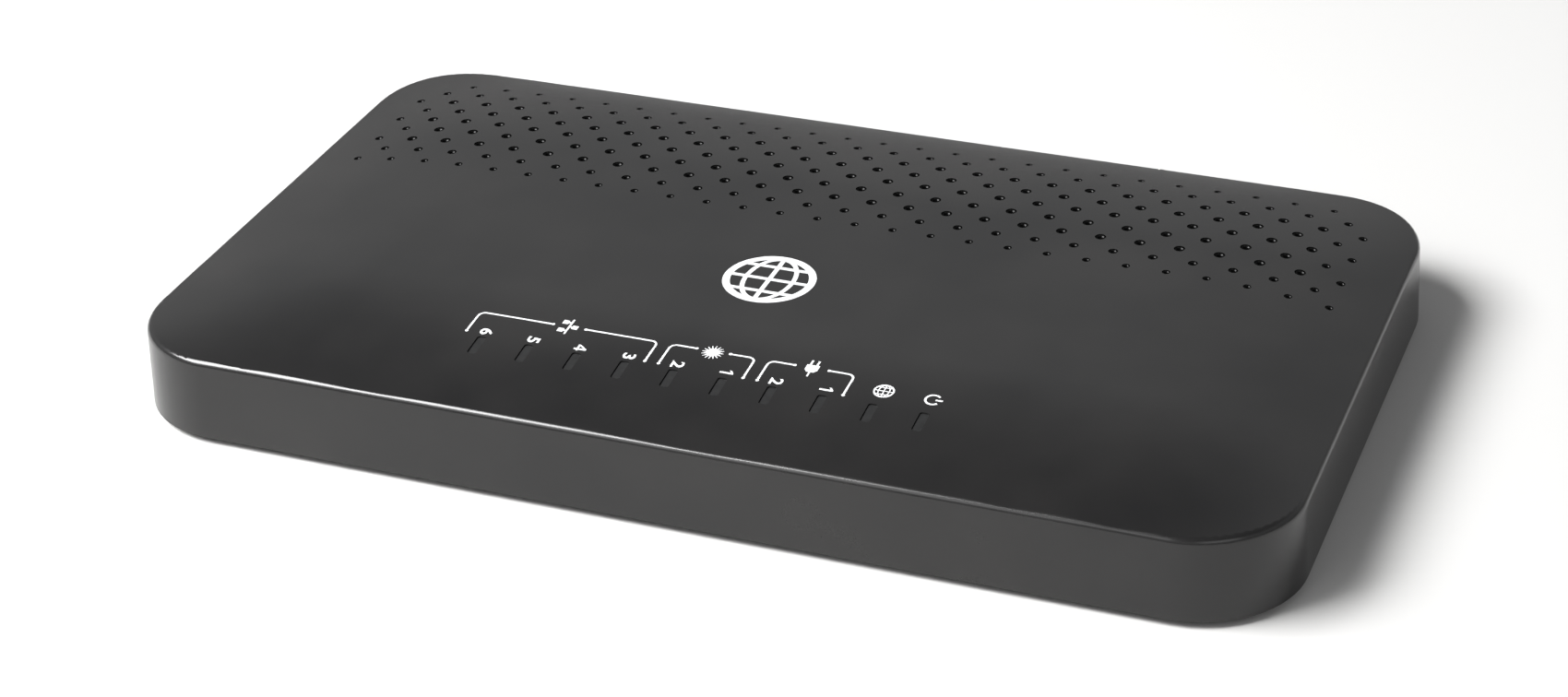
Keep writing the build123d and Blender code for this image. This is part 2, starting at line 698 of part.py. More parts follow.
with BuildPart() as coax_nut:
    with BuildSketch(Plane.XZ.offset(-nut_front_y)):
        with Locations((coax_x, coax_axis)):
            RegularPolygon(nut_flats / 2, 6, major_radius=False)
            Circle(coax_radius - thread_depth + touch, mode=Mode.SUBTRACT)
    extrude(amount=nut_thickness)
coax_nut.part.label = "coax_nut"
export_step(coax_nut.part, "parts/coax_nut.step")

# ---- Direct current inlet: a moulded body with a round nose, a centre pin and a leaf spring
dc_bore = 3.1
dc_depth = 9.5
dc_pin_radius = 1.0
dc_pin_length = 8.2
dc_pin_root = 3.0
dc_pin_round = 0.5
dc_spring_width, dc_spring_thickness, dc_spring_setback = 1.8, 0.25, 1.5
with BuildPart() as dc_inlet_body:
    with BuildSketch(Plane.XZ.offset(-block_front_y)):
        with Locations((dc_x, port_axis)):
            Rectangle(dc_body_width, dc_body_height)
    extrude(amount=dc_body_depth)
    with BuildSketch(Plane.XZ.offset(-port_face_y)):
        with Locations((dc_x, port_axis)):
            Circle(dc_nose_radius)
    extrude(amount=port_face_y - block_front_y)
    with BuildSketch(Plane.XZ.offset(-port_face_y)):
        with Locations((dc_x, port_axis)):
            Circle(dc_bore)
    extrude(amount=dc_depth, mode=Mode.SUBTRACT)
    with BuildSketch(Plane.XZ.offset(-(port_face_y - dc_depth))):
        with Locations((dc_x, port_axis)):
            Circle(dc_pin_radius + touch)
    extrude(amount=dc_pin_root, mode=Mode.SUBTRACT)
dc_inlet_body.part.label = "dc_inlet_body"
export_step(dc_inlet_body.part, "parts/dc_inlet_body.step")

with BuildPart() as dc_inlet_pin:
    with BuildSketch(Plane.XZ.offset(-(port_face_y - dc_depth + dc_pin_length))):
        with Locations((dc_x, port_axis)):
            Circle(dc_pin_radius)
    extrude(amount=dc_pin_length + dc_pin_root - touch)
    fillet(dc_inlet_pin.faces().sort_by(Axis.Y)[-1].edges(), radius=dc_pin_round)
dc_inlet_pin.part.label = "dc_inlet_pin"
export_step(dc_inlet_pin.part, "parts/dc_inlet_pin.step")

with BuildPart() as dc_inlet_spring:
    with BuildSketch(Plane.XZ.offset(-(port_face_y - dc_spring_setback))):
        with Locations((dc_x, port_axis - dc_bore + dc_spring_width / 4)):
            Rectangle(dc_spring_width, dc_spring_thickness)
    extrude(amount=dc_depth - dc_spring_setback - touch)
dc_inlet_spring.part.label = "dc_inlet_spring"
export_step(dc_inlet_spring.part, "parts/dc_inlet_spring.step")

# ---- Power button: a round cap kept behind the panel by its collar, pressed on the switch's plunger
collar_lap = 0.9
collar_radius = power_cap_radius + collar_lap
cap_round = 0.6
collar_thickness = 1.0
collar_y = panel_inner_y - slip
stem_radius = 2.8
stem_length = 2.0
stem_y = collar_y - collar_thickness - stem_length
plunger_side = 3.0
socket_depth = 4.0
switch_clearance = 0.3
switch_front_y = stem_y - power_travel - switch_clearance
plunger_grip = 3.5          # inside the switch when released
with BuildPart() as power_button:
    with BuildSketch(Plane.XZ.offset(-(back_y + power_stand_out))):
        with Locations((button_x, power_z)):
            Circle(power_cap_radius)
    extrude(amount=back_y + power_stand_out - collar_y)
    fillet(power_button.faces().sort_by(Axis.Y)[-1].edges(), radius=cap_round)
    with BuildSketch(Plane.XZ.offset(-collar_y)):
        with Locations((button_x, power_z)):
            Circle(collar_radius)
    extrude(amount=collar_thickness)
    with BuildSketch(Plane.XZ.offset(-(collar_y - collar_thickness))):
        with Locations((button_x, power_z)):
            Circle(stem_radius)
    extrude(amount=stem_length)
    with BuildSketch(Plane.XZ.offset(-(stem_y + socket_depth))):
        with Locations((button_x, power_z)):
            Rectangle(plunger_side + 2 * touch, plunger_side + 2 * touch)
    extrude(amount=socket_depth, mode=Mode.SUBTRACT)
power_button.part.label = "power_button"
export_step(power_button.part, "parts/power_button.step")

with BuildPart() as power_plunger:
    with BuildSketch(Plane.XZ.offset(-(stem_y + socket_depth - touch))):
        with Locations((button_x, power_z)):
            Rectangle(plunger_side, plunger_side)
    extrude(amount=stem_y + socket_depth - touch - switch_front_y + plunger_grip)
power_plunger.part.label = "power_plunger"
export_step(power_plunger.part, "parts/power_plunger.step")

with BuildPart() as power_switch_body:
    with BuildSketch(Plane.XZ.offset(-switch_front_y)):
        with Locations((button_x, power_z)):
            Rectangle(switch_width, switch_height)
    extrude(amount=switch_depth)
    with BuildSketch(Plane.XZ.offset(-switch_front_y)):
        with Locations((button_x, power_z)):
            Rectangle(plunger_side + 2 * running, plunger_side + 2 * running)
    extrude(amount=plunger_grip + power_travel + switch_clearance, mode=Mode.SUBTRACT)
power_switch_body.part.label = "power_switch_body"
export_step(power_switch_body.part, "parts/power_switch_body.step")

# ---- Reset button: the round plunger of a small switch, reached through the panel with a pin
reset_width, reset_depth, reset_height = 6.0, 4.2, 4.6
reset_plunger_radius = 1.5
reset_grip = 1.4
reset_setback = 0.35        # behind the panel
reset_edge_gap = 0.3
reset_front_y = board_back - reset_edge_gap
with BuildPart() as reset_switch_body:
    with Locations((reset_x, reset_front_y, board_top + touch)):
        Box(reset_width, reset_depth, reset_height, align=(Align.CENTER, Align.MAX, Align.MIN))
    with BuildSketch(Plane.XZ.offset(-reset_front_y)):
        with Locations((reset_x, reset_z)):
            Circle(reset_plunger_radius + running)
    extrude(amount=reset_grip + 2 * reset_travel, mode=Mode.SUBTRACT)
reset_switch_body.part.label = "reset_switch_body"
export_step(reset_switch_body.part, "parts/reset_switch_body.step")

with BuildPart() as reset_button:
    with BuildSketch(Plane.XZ.offset(-(panel_inner_y - reset_setback))):
        with Locations((reset_x, reset_z)):
            Circle(reset_plunger_radius)
    extrude(amount=panel_inner_y - reset_setback - reset_front_y + reset_grip)
reset_button.part.label = "reset_button"
export_step(reset_button.part, "parts/reset_button.step")

# ---- Processor, its thermal pad, and a finned heat sink held by two push pins
chip_x, chip_y = 5.0, back_y - 74.0
processor_side, processor_height, processor_chamfer = 21.0, 1.4, 0.3
pad_thickness = 0.8
pad_margin = 1.0
pad_side = processor_side - 2 * pad_margin
sink_side, sink_base, sink_height = 38.0, 2.0, 8.0
fin_count, fin_thickness = 10, 1.1
pin_clearing = 7.0          # the fins leave a square of this side around each push pin
pin_radius, pin_head_radius, pin_head_height, pin_tip = 1.5, 2.8, 1.2, 0.5
sink_z = board_top + processor_height + pad_thickness
pin_reach = 15.0            # from the heat sink's middle to each push pin, on its diagonal
with BuildPart() as processor:
    with Locations((chip_x, chip_y, board_top)):
        Box(processor_side, processor_side, processor_height, align=ON_FLOOR)
    chamfer(processor.faces().sort_by(Axis.Z)[-1].edges(), length=processor_chamfer)
processor.part.label = "processor"
export_step(processor.part, "parts/processor.step")

with BuildPart() as thermal_pad:
    with Locations((chip_x, chip_y, board_top + processor_height)):
        Box(pad_side, pad_side, pad_thickness, align=ON_FLOOR)
thermal_pad.part.label = "thermal_pad"
export_step(thermal_pad.part, "parts/thermal_pad.step")

pin_places = [(chip_x + side * pin_reach, chip_y + side * pin_reach) for side in (-1, 1)]
with BuildPart() as heat_sink:
    with Locations((chip_x, chip_y, sink_z)):
        Box(sink_side, sink_side, sink_base, align=ON_FLOOR)
        with GridLocations((sink_side - fin_thickness) / (fin_count - 1), 1, fin_count, 1):
            Box(fin_thickness, sink_side, sink_height, align=ON_FLOOR)
    with Locations(*[(x, y, sink_z) for x, y in pin_places]):
        Box(pin_clearing, pin_clearing, sink_height, align=ON_FLOOR, mode=Mode.SUBTRACT)
        Box(pin_clearing, pin_clearing, sink_base, align=ON_FLOOR)
        Cylinder(pin_radius + ease, sink_base, align=ON_FLOOR, mode=Mode.SUBTRACT)
heat_sink.part.label = "heat_sink"
export_step(heat_sink.part, "parts/heat_sink.step")

with BuildPart() as heat_sink_pins:
    with Locations(*[(x, y, board_top + touch) for x, y in pin_places]):
        Cylinder(pin_radius, processor_height + pad_thickness + sink_base + pin_tip, align=ON_FLOOR)
    with Locations(*[(x, y, sink_z + sink_base + touch) for x, y in pin_places]):
        Cylinder(pin_head_radius, pin_head_height, align=ON_FLOOR)
heat_sink_pins.part.label = "heat_sink_pins"
export_step(heat_sink_pins.part, "parts/heat_sink_pins.step")

# ---- The other parts on the board: name, size, height and places, all flat boxes
package_round = 0.4
flat_parts = [
    ("memory_chips", (9.0, 13.5, 1.1), [(36.0, chip_y - 8.5), (36.0, chip_y + 8.5)]),
    ("flash_chip", (12.0, 18.0, 1.1), [(-32.0, chip_y)]),
    ("switch_chip", (14.0, 14.0, 1.2), [(lan_x, back_y - 44.0)]),
    ("lan_transformers", (12.2, 9.5, 2.4), [(x, back_y - 26.0) for x in lan_places]),
    ("power_inductors", (7.0, 7.0, 4.0), [(62.0, chip_y), (72.0, chip_y), (62.0, chip_y - 12)]),
    ("regulators", (6.5, 3.6, 1.7), [(84.0, chip_y - 4), (84.0, chip_y - 12), (52.0, chip_y - 16)]),
    ("crystals", (11.0, 4.6, 3.6), [(-22.0, chip_y + 20.0), (50.0, chip_y + 6)]),
]
for part_name, (width, depth, height), places in flat_parts:
    with BuildPart() as flat_part:
        with Locations(*[(x, y, board_top) for x, y in places]):
            Box(width, depth, height, align=ON_FLOOR)
        fillet(flat_part.edges().filter_by(Axis.Z), radius=package_round)
    flat_part.part.label = part_name
    export_step(flat_part.part, f"parts/{part_name}.step")

# ---- Storage capacitors: upright cans with a rolled-in foot
can_radius, can_height, can_round = 4.0, 9.0, 0.4
groove_height, groove_radius, groove_depth = 1.2, 0.5, 0.3
can_places = [(76.0, back_y - 33.0), (76.0, back_y - 43.0), (88.0, back_y - 47.0), (88.0, back_y - 57.0)]
with BuildPart() as storage_capacitors:
    with Locations(*[(x, y, board_top) for x, y in can_places]):
        Cylinder(can_radius, can_height, align=ON_FLOOR)
    with Locations(*[(x, y, board_top + groove_height) for x, y in can_places]):
        Torus(can_radius + groove_radius - groove_depth, groove_radius, mode=Mode.SUBTRACT)
    fillet(storage_capacitors.edges().group_by(Axis.Z)[-1], radius=can_round)
storage_capacitors.part.label = "storage_capacitors"
export_step(storage_capacitors.part, "parts/storage_capacitors.step")

# ---- Small capacitors in rows on two sides of the processor
row_gap = 5.0               # from the heat sink's edge to the middle of the rows
small_pitch_x, small_pitch_y, small_columns, small_rows = 3.0, 2.4, 10, 2
small_length, small_width = 1.6, 0.8
with BuildPart() as chip_capacitors:
    for side in (-1, 1):
        with Locations((chip_x, chip_y + side * (sink_side / 2 + row_gap), board_top)):
            with GridLocations(small_pitch_x, small_pitch_y, small_columns, small_rows):
                Box(small_length, small_width, small_width, align=ON_FLOOR)
chip_capacitors.part.label = "chip_capacitors"
export_step(chip_capacitors.part, "parts/chip_capacitors.step")

# ---- Tuner behind the cable jack: a chip inside a soldered frame with a snapped-on lid
tuner_x, tuner_y = coax_x, back_y - 34.0
frame_width, frame_depth, frame_height = 30.0, 26.0, 3.2
lid_skirt = 1.6
tuner_side, tuner_height = 8.0, 1.0
with BuildPart() as tuner_chip:
    with Locations((tuner_x, tuner_y, board_top)):
        Box(tuner_side, tuner_side, tuner_height, align=ON_FLOOR)
tuner_chip.part.label = "tuner_chip"
export_step(tuner_chip.part, "parts/tuner_chip.step")

with BuildPart() as shield_frame:
    with Locations((tuner_x, tuner_y, board_top)):
        Box(frame_width, frame_depth, frame_height, align=ON_FLOOR)
        Box(
            frame_width - 2 * sheet,
            frame_depth - 2 * sheet,
            frame_height,
            align=ON_FLOOR,
            mode=Mode.SUBTRACT,
        )
shield_frame.part.label = "shield_frame"
export_step(shield_frame.part, "parts/shield_frame.step")

with BuildPart() as shield_lid:
    with Locations((tuner_x, tuner_y, board_top + frame_height + touch + sheet)):
        lid_grow = 2 * (touch + sheet)
        Box(frame_width + lid_grow, frame_depth + lid_grow, lid_skirt + sheet, align=HANGING)
    with Locations((tuner_x, tuner_y, board_top + frame_height + touch)):
        Box(
            frame_width + 2 * touch,
            frame_depth + 2 * touch,
            lid_skirt + sheet,
            align=HANGING,
            mode=Mode.SUBTRACT,
        )
shield_lid.part.label = "shield_lid"
export_step(shield_lid.part, "parts/shield_lid.step")
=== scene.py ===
import math
import bmesh
import bpy
from mathutils import Matrix, Vector
from mathutils.geometry import delaunay_2d_cdt


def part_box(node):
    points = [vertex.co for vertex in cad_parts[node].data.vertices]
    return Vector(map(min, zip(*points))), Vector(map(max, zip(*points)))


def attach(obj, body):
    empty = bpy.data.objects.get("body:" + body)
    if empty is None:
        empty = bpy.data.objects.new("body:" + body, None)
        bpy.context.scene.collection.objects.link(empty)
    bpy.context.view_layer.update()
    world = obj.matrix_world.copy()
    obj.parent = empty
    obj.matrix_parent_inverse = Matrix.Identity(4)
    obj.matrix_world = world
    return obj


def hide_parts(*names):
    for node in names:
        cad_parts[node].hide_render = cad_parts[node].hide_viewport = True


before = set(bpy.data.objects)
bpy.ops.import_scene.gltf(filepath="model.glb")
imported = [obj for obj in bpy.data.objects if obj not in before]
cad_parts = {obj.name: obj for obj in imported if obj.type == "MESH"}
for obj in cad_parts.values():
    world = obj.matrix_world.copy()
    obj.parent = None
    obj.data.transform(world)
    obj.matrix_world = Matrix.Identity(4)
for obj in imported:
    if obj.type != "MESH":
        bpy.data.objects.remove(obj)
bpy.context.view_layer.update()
MM = 0.001


# ---------------------------------------------------------------- camera
# The viewer stands a little to the right of the front and looks down on the case.
def placed(name, data):
    """A new object of a mesh, curve, lamp or camera, linked to the scene at the origin."""
    made = bpy.data.objects.new(name, data)
    bpy.context.scene.collection.objects.link(made)
    return made


camera_data = bpy.data.cameras.new("camera")
camera_data.sensor_width = 36.0
camera_data.lens = 73.44
camera_data.clip_start = 0.01
camera_data.clip_end = 50.0
camera = placed("camera", camera_data)
camera_right = Vector((0.93107, 0.36317, -0.03468)).normalized()
camera_up = Vector((-0.15637, 0.48312, 0.86145)).normalized()
camera_back = camera_right.cross(camera_up).normalized()
camera_up = camera_back.cross(camera_right)
case_low, case_high = (Vector(corner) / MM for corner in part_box("top_cover"))
middle_y = (case_low.y + case_high.y) / 2
camera_place = Vector((209.32, middle_y - 509.91, 325.05)) * MM
camera.matrix_world = Matrix.Translation(camera_place) @ Matrix((
    (camera_right.x, camera_up.x, camera_back.x),
    (camera_right.y, camera_up.y, camera_back.y),
    (camera_right.z, camera_up.z, camera_back.z),
)).to_4x4()
bpy.context.scene.camera = camera


# ---------------------------------------------------------------- studio
# A plain pale table in a room that is brightest a little above the horizon and dim overhead: a
# small strong softbox at the left rakes over the roof, and two wide ones in front light the walls.
class Wire:
    """One socket of a node tree; sums of wires are plain expressions that add their nodes."""

    def __init__(self, tree, socket=None):
        self.tree = tree
        self.socket = socket

    def node(self, kind, settings=None, inputs=None, output=0):
        made = self.tree.nodes.new(kind)
        for name, value in (settings or {}).items():
            if name == "stops":
                ramp = made.color_ramp
                while len(ramp.elements) < len(value):
                    ramp.elements.new(0.5)
                for element, (place, colour) in zip(ramp.elements, value):
                    element.position = place
                    element.color = colour
            else:
                setattr(made, name, value)
        for name, value in (inputs or {}).items():
            if isinstance(value, Wire):
                self.tree.links.new(value.socket, made.inputs[name])
            else:
                made.inputs[name].default_value = value
        return Wire(self.tree, made.outputs[output])

    def sum_of(self, operation, first, second=0.0):
        return self.node("ShaderNodeMath", {"operation": operation}, {0: first, 1: second})

    def __add__(self, other):
        return self.sum_of("ADD", self, other)

    def __sub__(self, other):
        return self.sum_of("SUBTRACT", self, other)

    def __rsub__(self, other):
        return self.sum_of("SUBTRACT", other, self)

    def __mul__(self, other):
        return self.sum_of("MULTIPLY", self, other)

    def __truediv__(self, other):
        return self.sum_of("DIVIDE", self, other)

    def __pow__(self, other):
        return self.sum_of("POWER", self, other)

    def __abs__(self):
        return self.sum_of("ABSOLUTE", self)

    __radd__ = __add__
    __rmul__ = __mul__

    def axis(self, number):
        return self.node("ShaderNodeSeparateXYZ", inputs={0: self}, output=number)

    def point(self, x, y, z):
        return self.node("ShaderNodeCombineXYZ", inputs={0: x, 1: y, 2: z})


class Finish(Wire):
    """A new material with one principled shader; constants go on the shader's own sockets.

    Each finish leads its own varying roughness to the shader afterwards."""

    def __init__(self, name, colour, **constants):
        self.material = bpy.data.materials.new(name)
        self.material.use_nodes = True
        tree = self.material.node_tree
        tree.nodes.clear()
        super().__init__(tree)
        self.shader = tree.nodes.new("ShaderNodeBsdfPrincipled")
        surface = tree.nodes.new("ShaderNodeOutputMaterial")
        tree.links.new(self.shader.outputs[0], surface.inputs["Surface"])
        self.colour = (*colour, 1.0)
        self.shader.inputs["Base Color"].default_value = self.colour
        for socket, value in constants.items():
            self.shader.inputs[socket.replace("_", " ")].default_value = value
        self.place = self.node("ShaderNodeTexCoord", output=3)

    def lead(self, socket, wire):
        self.tree.links.new(wire.socket, self.shader.inputs[socket])

    def noise(self, size_mm, detail=2.0, stretch=(1.0, 1.0, 1.0)):
        """Soft random values about 0.5, whose grains are size_mm across."""
        scale = tuple(1.0 / (size_mm * MM * along) for along in stretch)
        place = self.node("ShaderNodeMapping", {"vector_type": "POINT"},
                          {"Vector": self.place, "Scale": scale})
        return self.node("ShaderNodeTexNoise", inputs={"Vector": place, "Scale": 1.0, "Detail": detail})

    def tint(self, mask, other):
        """Mixes the base colour towards another one where the mask is high."""
        self.lead("Base Color", self.node("ShaderNodeMix", {"data_type": "RGBA"},
                                          {0: mask, 6: self.colour, 7: (*other, 1.0)}, output=2))

    def bump(self, height, depth_mm, strength=1.0):
        relief = self.node("ShaderNodeBump", inputs={"Height": height, "Strength": strength,
                                                    "Distance": depth_mm * MM})
        self.lead("Normal", relief)


table_half_width = 6.0
table_drop = 0.05 * MM
table_mesh = bpy.data.meshes.new("table")
sheet = bmesh.new()
bmesh.ops.create_grid(sheet, x_segments=8, y_segments=8, size=table_half_width)
sheet.to_mesh(table_mesh)
sheet.free()
table = placed("table", table_mesh)
table_finish = Finish("table_paper", (0.62, 0.617, 0.61))
table_finish.lead("Roughness", 0.8 + 0.1 * table_finish.noise(6.0))
table.data.materials.append(table_finish.material)
table.location.z = -table_drop

world = bpy.data.worlds.new("room")
world.use_nodes = True
bpy.context.scene.world = world
room = Wire(world.node_tree)
world.node_tree.nodes.clear()
outward = room.node("ShaderNodeTexCoord")
sky = room.node("ShaderNodeValToRGB", {"stops": (
    (0.0, (0.40, 0.40, 0.40, 1.0)),
    (0.25, (0.52, 0.52, 0.52, 1.0)),
    (0.46, (0.64, 0.645, 0.65, 1.0)),
    (0.80, (0.10, 0.10, 0.105, 1.0)),
)}, {0: abs(outward.axis(2))})
glow = room.node("ShaderNodeBackground", inputs={"Color": sky, "Strength": 0.76})
world_out = world.node_tree.nodes.new("ShaderNodeOutputWorld")
world.node_tree.links.new(glow.socket, world_out.inputs["Surface"])


def softbox(name, place, aim, width, depth, power):
    light = bpy.data.lights.new(name, "AREA")
    light.shape = "RECTANGLE"
    light.size = width
    light.size_y = depth
    light.energy = power
    facing = (Vector(aim) - Vector(place)).to_track_quat("-Z", "Y")
    placed(name, light).matrix_world = Matrix.Translation(place) @ facing.to_matrix().to_4x4()


softbox("key", (-0.82, -0.50, 1.10), (0.0, 0.0, 0.0), 0.78, 0.70, 46.0)
softbox("fill_left", (-1.1, -1.9, 1.7), (0.0, 0.1, 0.0), 1.6, 1.2, 12.0)
softbox("fill_right", (1.5, -1.7, 1.7), (0.0, 0.1, 0.0), 1.6, 1.2, 6.0)
bpy.context.scene.view_settings.view_transform = "Standard"


# ---------------------------------------------------------------- top cover
# The upper half of the case: an injection-moulded black shell with a crowned roof, satin on
# top and finely grained on the sides. It drops over the base and is held by four screws.
# Sizes are in millimetres where MM doesn't turn them into metres. The shell's faces are of four
# kinds: its inside, its outer skin, its roof and the bowls of the dimples.
INSIDE, SKIN, ROOF, BOWL = range(4)
foot_height = case_low.z
case_width = case_high.x - case_low.x
case_depth = case_high.y - case_low.y
wall_draft = math.radians(2.5)
wall_height = 16.4
crown_rise = 4.5
roll_x = 40.0
roll_y = 37.2
edge_round = 1.5
corner_radius = 20.7
edge_z = foot_height + wall_height
top_inset = wall_height * math.tan(wall_draft)
top_width = case_width - 2 * top_inset
top_depth = case_depth - 2 * top_inset


def rolled(distance, flat, roll):
    """0 on the flat middle of the roof, rising to 1 at its edge; for numbers and for wires."""
    beyond = (distance - flat) / roll
    return 0.5 * (beyond + abs(beyond))


def crown_height(x, y):
    across = rolled(abs(x), top_width / 2 - roll_x, roll_x)
    along = rolled(abs(y - middle_y), top_depth / 2 - roll_y, roll_y)
    return edge_z + crown_rise * (1 - across * across) * (1 - along * along)


def crown_normal(x, y, step=0.05):
    slope_x = (crown_height(x + step, y) - crown_height(x - step, y)) / (2 * step)
    slope_y = (crown_height(x, y + step) - crown_height(x, y - step)) / (2 * step)
    return Vector((-slope_x, -slope_y, 1.0)).normalized()


def new_group(name, **sizes):
    """A geometry tree with named inputs; gives the tree, its wires and the input geometry."""
    tree = bpy.data.node_groups.new(name, "GeometryNodeTree")
    tree.is_modifier = True
    tree.interface.new_socket("Geometry", in_out="INPUT", socket_type="NodeSocketGeometry")
    for size, value in sizes.items():
        kind = {int: "NodeSocketInt", float: "NodeSocketFloat"}.get(type(value), "NodeSocketMaterial")
        tree.interface.new_socket(size, in_out="INPUT", socket_type=kind)
    tree.interface.new_socket("Geometry", in_out="OUTPUT", socket_type="NodeSocketGeometry")
    entry = tree.nodes.new("NodeGroupInput")
    wires = {socket.name: Wire(tree, socket) for socket in entry.outputs if socket.name}
    return tree, wires


def end_group(tree, geometry, material):
    """Closes a tree with its realized instances and its material."""
    real = geometry.node("GeometryNodeRealizeInstances", inputs={0: geometry})
    finished = geometry.node("GeometryNodeSetMaterial", inputs={"Geometry": real, "Material": material})
    leave = tree.nodes.new("NodeGroupOutput")
    tree.links.new(finished.socket, leave.inputs[0])


def grown(tree, base, sizes):
    """The plain mesh that a tree makes of a base mesh, with its sizes set by identifier."""
    holder = placed(tree.name, base)
    modifier = holder.modifiers.new(tree.name, "NODES")
    modifier.node_group = tree
    for socket in tree.interface.items_tree:
        if socket.in_out == "INPUT" and socket.name in sizes:
            modifier[socket.identifier] = sizes[socket.name]
    graph = bpy.context.evaluated_depsgraph_get()
    mesh = bpy.data.meshes.new_from_object(holder.evaluated_get(graph), depsgraph=graph)
    holder.modifiers.clear()
    bpy.data.objects.remove(holder)
    return mesh


def lifted(geometry, lift):
    """Raises flat geometry, drawn in millimetres, on to the crown and turns it into metres."""
    here = geometry.node("GeometryNodeInputPosition")
    x, y, z = (here.axis(number) for number in range(3))
    place = here.point(x * MM, y * MM, (z + crown_height(x, y) + lift) * MM)
    return geometry.node("GeometryNodeSetPosition", inputs={"Geometry": geometry, "Position": place})


def limit(wire, low=0.0, high=1.0):
    return wire.node("ShaderNodeClamp", inputs={0: wire, 1: low, 2: high})


def lesser(first, second):
    return first.sum_of("MINIMUM", first, second)


cover_finish = Finish("cover_satin_black", (0.0105, 0.0104, 0.0106), Specular_IOR_Level=0.5)
grain = cover_finish.noise(0.35, 3.0)
cloud = cover_finish.noise(28.0, 2.0)
cover_finish.lead("Roughness", 0.17 + 0.05 * cloud + 0.04 * grain)
cover_finish.tint(limit(1.5 * cloud + 0.2 * grain - 0.6), (0.020, 0.0192, 0.0188))
cover_finish.bump(grain, 0.004, 0.35)

# Painted shade: the bowls get a near-black colour and a weak sheen, much darker than the cover's own
# plastic, so that the hollows read as shaded inside.
dimple_painted_shade = Finish("painted_shade_dimples", (0.0006, 0.0006, 0.0006), Specular_IOR_Level=0.15)
dimple_painted_shade.lead("Roughness", 0.21 + 0.06 * dimple_painted_shade.noise(0.5))

# Dimples: round blind hollows on a staggered lattice over the back half of the roof,
# smaller in its outer rows and columns. One bowl of unit radius is placed on every point.
dimple_sizes = {
    "Columns": 27, "Rows": 9, "Column Pitch": 8.01, "Row Pitch": 4.92, "First Row": middle_y + 16.11,
    "Full Radius": 1.12, "Bowl Depth": 0.68, "Sides": 20, "Rings": 6,
    "Front Share": 0.73, "Front Growth": 0.135, "Back Share": 0.64, "Back Growth": 0.17,
    "Side Share": 0.8, "Side Growth": 0.2, "Finish": dimple_painted_shade.material,
}
tree, wire = new_group("dimple_field", **dimple_sizes)
count = wire["Columns"] * wire["Rows"]
lattice = count.node("GeometryNodePoints", inputs={"Count": count})
index = count.node("GeometryNodeInputIndex")
row = count.node("ShaderNodeMath", {"operation": "FLOOR"}, {0: (index + 0.5) / wire["Columns"]})
column = index - row * wire["Columns"]
odd = count.node("ShaderNodeMath", {"operation": "MODULO"}, {0: row, 1: 2.0})
from_right = wire["Columns"] - 1 - column - odd
lattice_x = (column - (wire["Columns"] - 1) / 2 + odd / 2) * wire["Column Pitch"]
lattice_y = wire["First Row"] + row * wire["Row Pitch"]
spot = count.point(lattice_x, lattice_y, 0.0)
lattice = count.node("GeometryNodeSetPosition", inputs={"Geometry": lattice, "Position": spot})
to_side = lesser(column, from_right)
from_back = wire["Rows"] - 1 - row
front_share = wire["Front Share"] + wire["Front Growth"] * row
back_share = wire["Back Share"] + wire["Back Growth"] * from_back
side_share = wire["Side Share"] + wire["Side Growth"] * to_side
share = lesser(lesser(lesser(front_share, back_share), side_share), 1.0)
# an odd row is one dimple shorter, and the last row has none at its two ends
outside = count.sum_of("LESS_THAN", to_side, -0.5)
last_row_end = count.sum_of("LESS_THAN", from_back + to_side, 0.5)
gone = count.sum_of("GREATER_THAN", outside + last_row_end, 0.5)
bowl_grid = count.node("GeometryNodeMeshGrid", inputs={
    "Size X": 1.0, "Size Y": 1.0, "Vertices X": wire["Sides"] + 1, "Vertices Y": wire["Rings"] + 1})
here = count.node("GeometryNodeInputPosition")
turn = (here.axis(0) + 0.5) * (2 * math.pi)
inward = here.axis(1) + 0.5
# inward runs from 0 at the bowl's bottom to 1 at its rim, close-set near the rim
reach = count.sum_of("SINE", inward * (math.pi / 2))
sink = (1 - reach * reach) ** 0.5
bowl_place = count.point(reach * count.sum_of("COSINE", turn), reach * count.sum_of("SINE", turn),
                         -1.0 * sink * wire["Bowl Depth"])
bowl = count.node("GeometryNodeSetPosition", inputs={"Geometry": bowl_grid, "Position": bowl_place})
bowl = count.node("GeometryNodeMergeByDistance", inputs={"Geometry": bowl, "Distance": 0.001})
bowls = count.node("GeometryNodeInstanceOnPoints", inputs={"Points": lattice, "Instance": bowl})
scale = share * wire["Full Radius"]
bowls = count.node("GeometryNodeScaleInstances",
                   inputs={"Instances": bowls, "Scale": count.point(scale, scale, scale)})
bowls = count.node("GeometryNodeDeleteGeometry", {"domain": "INSTANCE"},
                   {"Geometry": bowls, "Selection": gone})
bowls = count.node("GeometryNodeRealizeInstances", inputs={0: bowls})
end_group(tree, lifted(bowls, 0.0), wire["Finish"])
dimples = grown(tree, bpy.data.meshes.new("dimple_seed"), dimple_sizes)


def loops_of(edges):
    """Boundary edges as closed chains of vertices."""
    joined = {}
    for edge in edges:
        for vertex in edge.verts:
            joined.setdefault(vertex, []).append(edge)
    used = set()
    chains = []
    for edge in edges:
        if edge in used:
            continue
        chain = []
        vertex = edge.verts[0]
        while edge not in used:
            used.add(edge)
            chain.append(vertex)
            vertex = edge.other_vert(vertex)
            edge = next((other for other in joined[vertex] if other not in used), edge)
        chains.append(chain)
    return chains


# The smooth roof of the CAD shell is taken off a copy and laid again with the dimples in it:
# triangles between the roof's edge, the lamp slots, the dimple rims and an even scatter.
own_weld = 0.001 * MM
seam_weld = 0.004 * MM
roof_tolerance = 0.07
scatter_columns = 40
scatter_rows = 30
scatter_step = 3.6
row_squeeze = 0.866
edge_margin = 2.6
rim_margin = 0.7
shell = bmesh.new()
shell.from_mesh(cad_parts["top_cover"].data)
bmesh.ops.remove_doubles(shell, verts=shell.verts, dist=own_weld)
shell.normal_update()


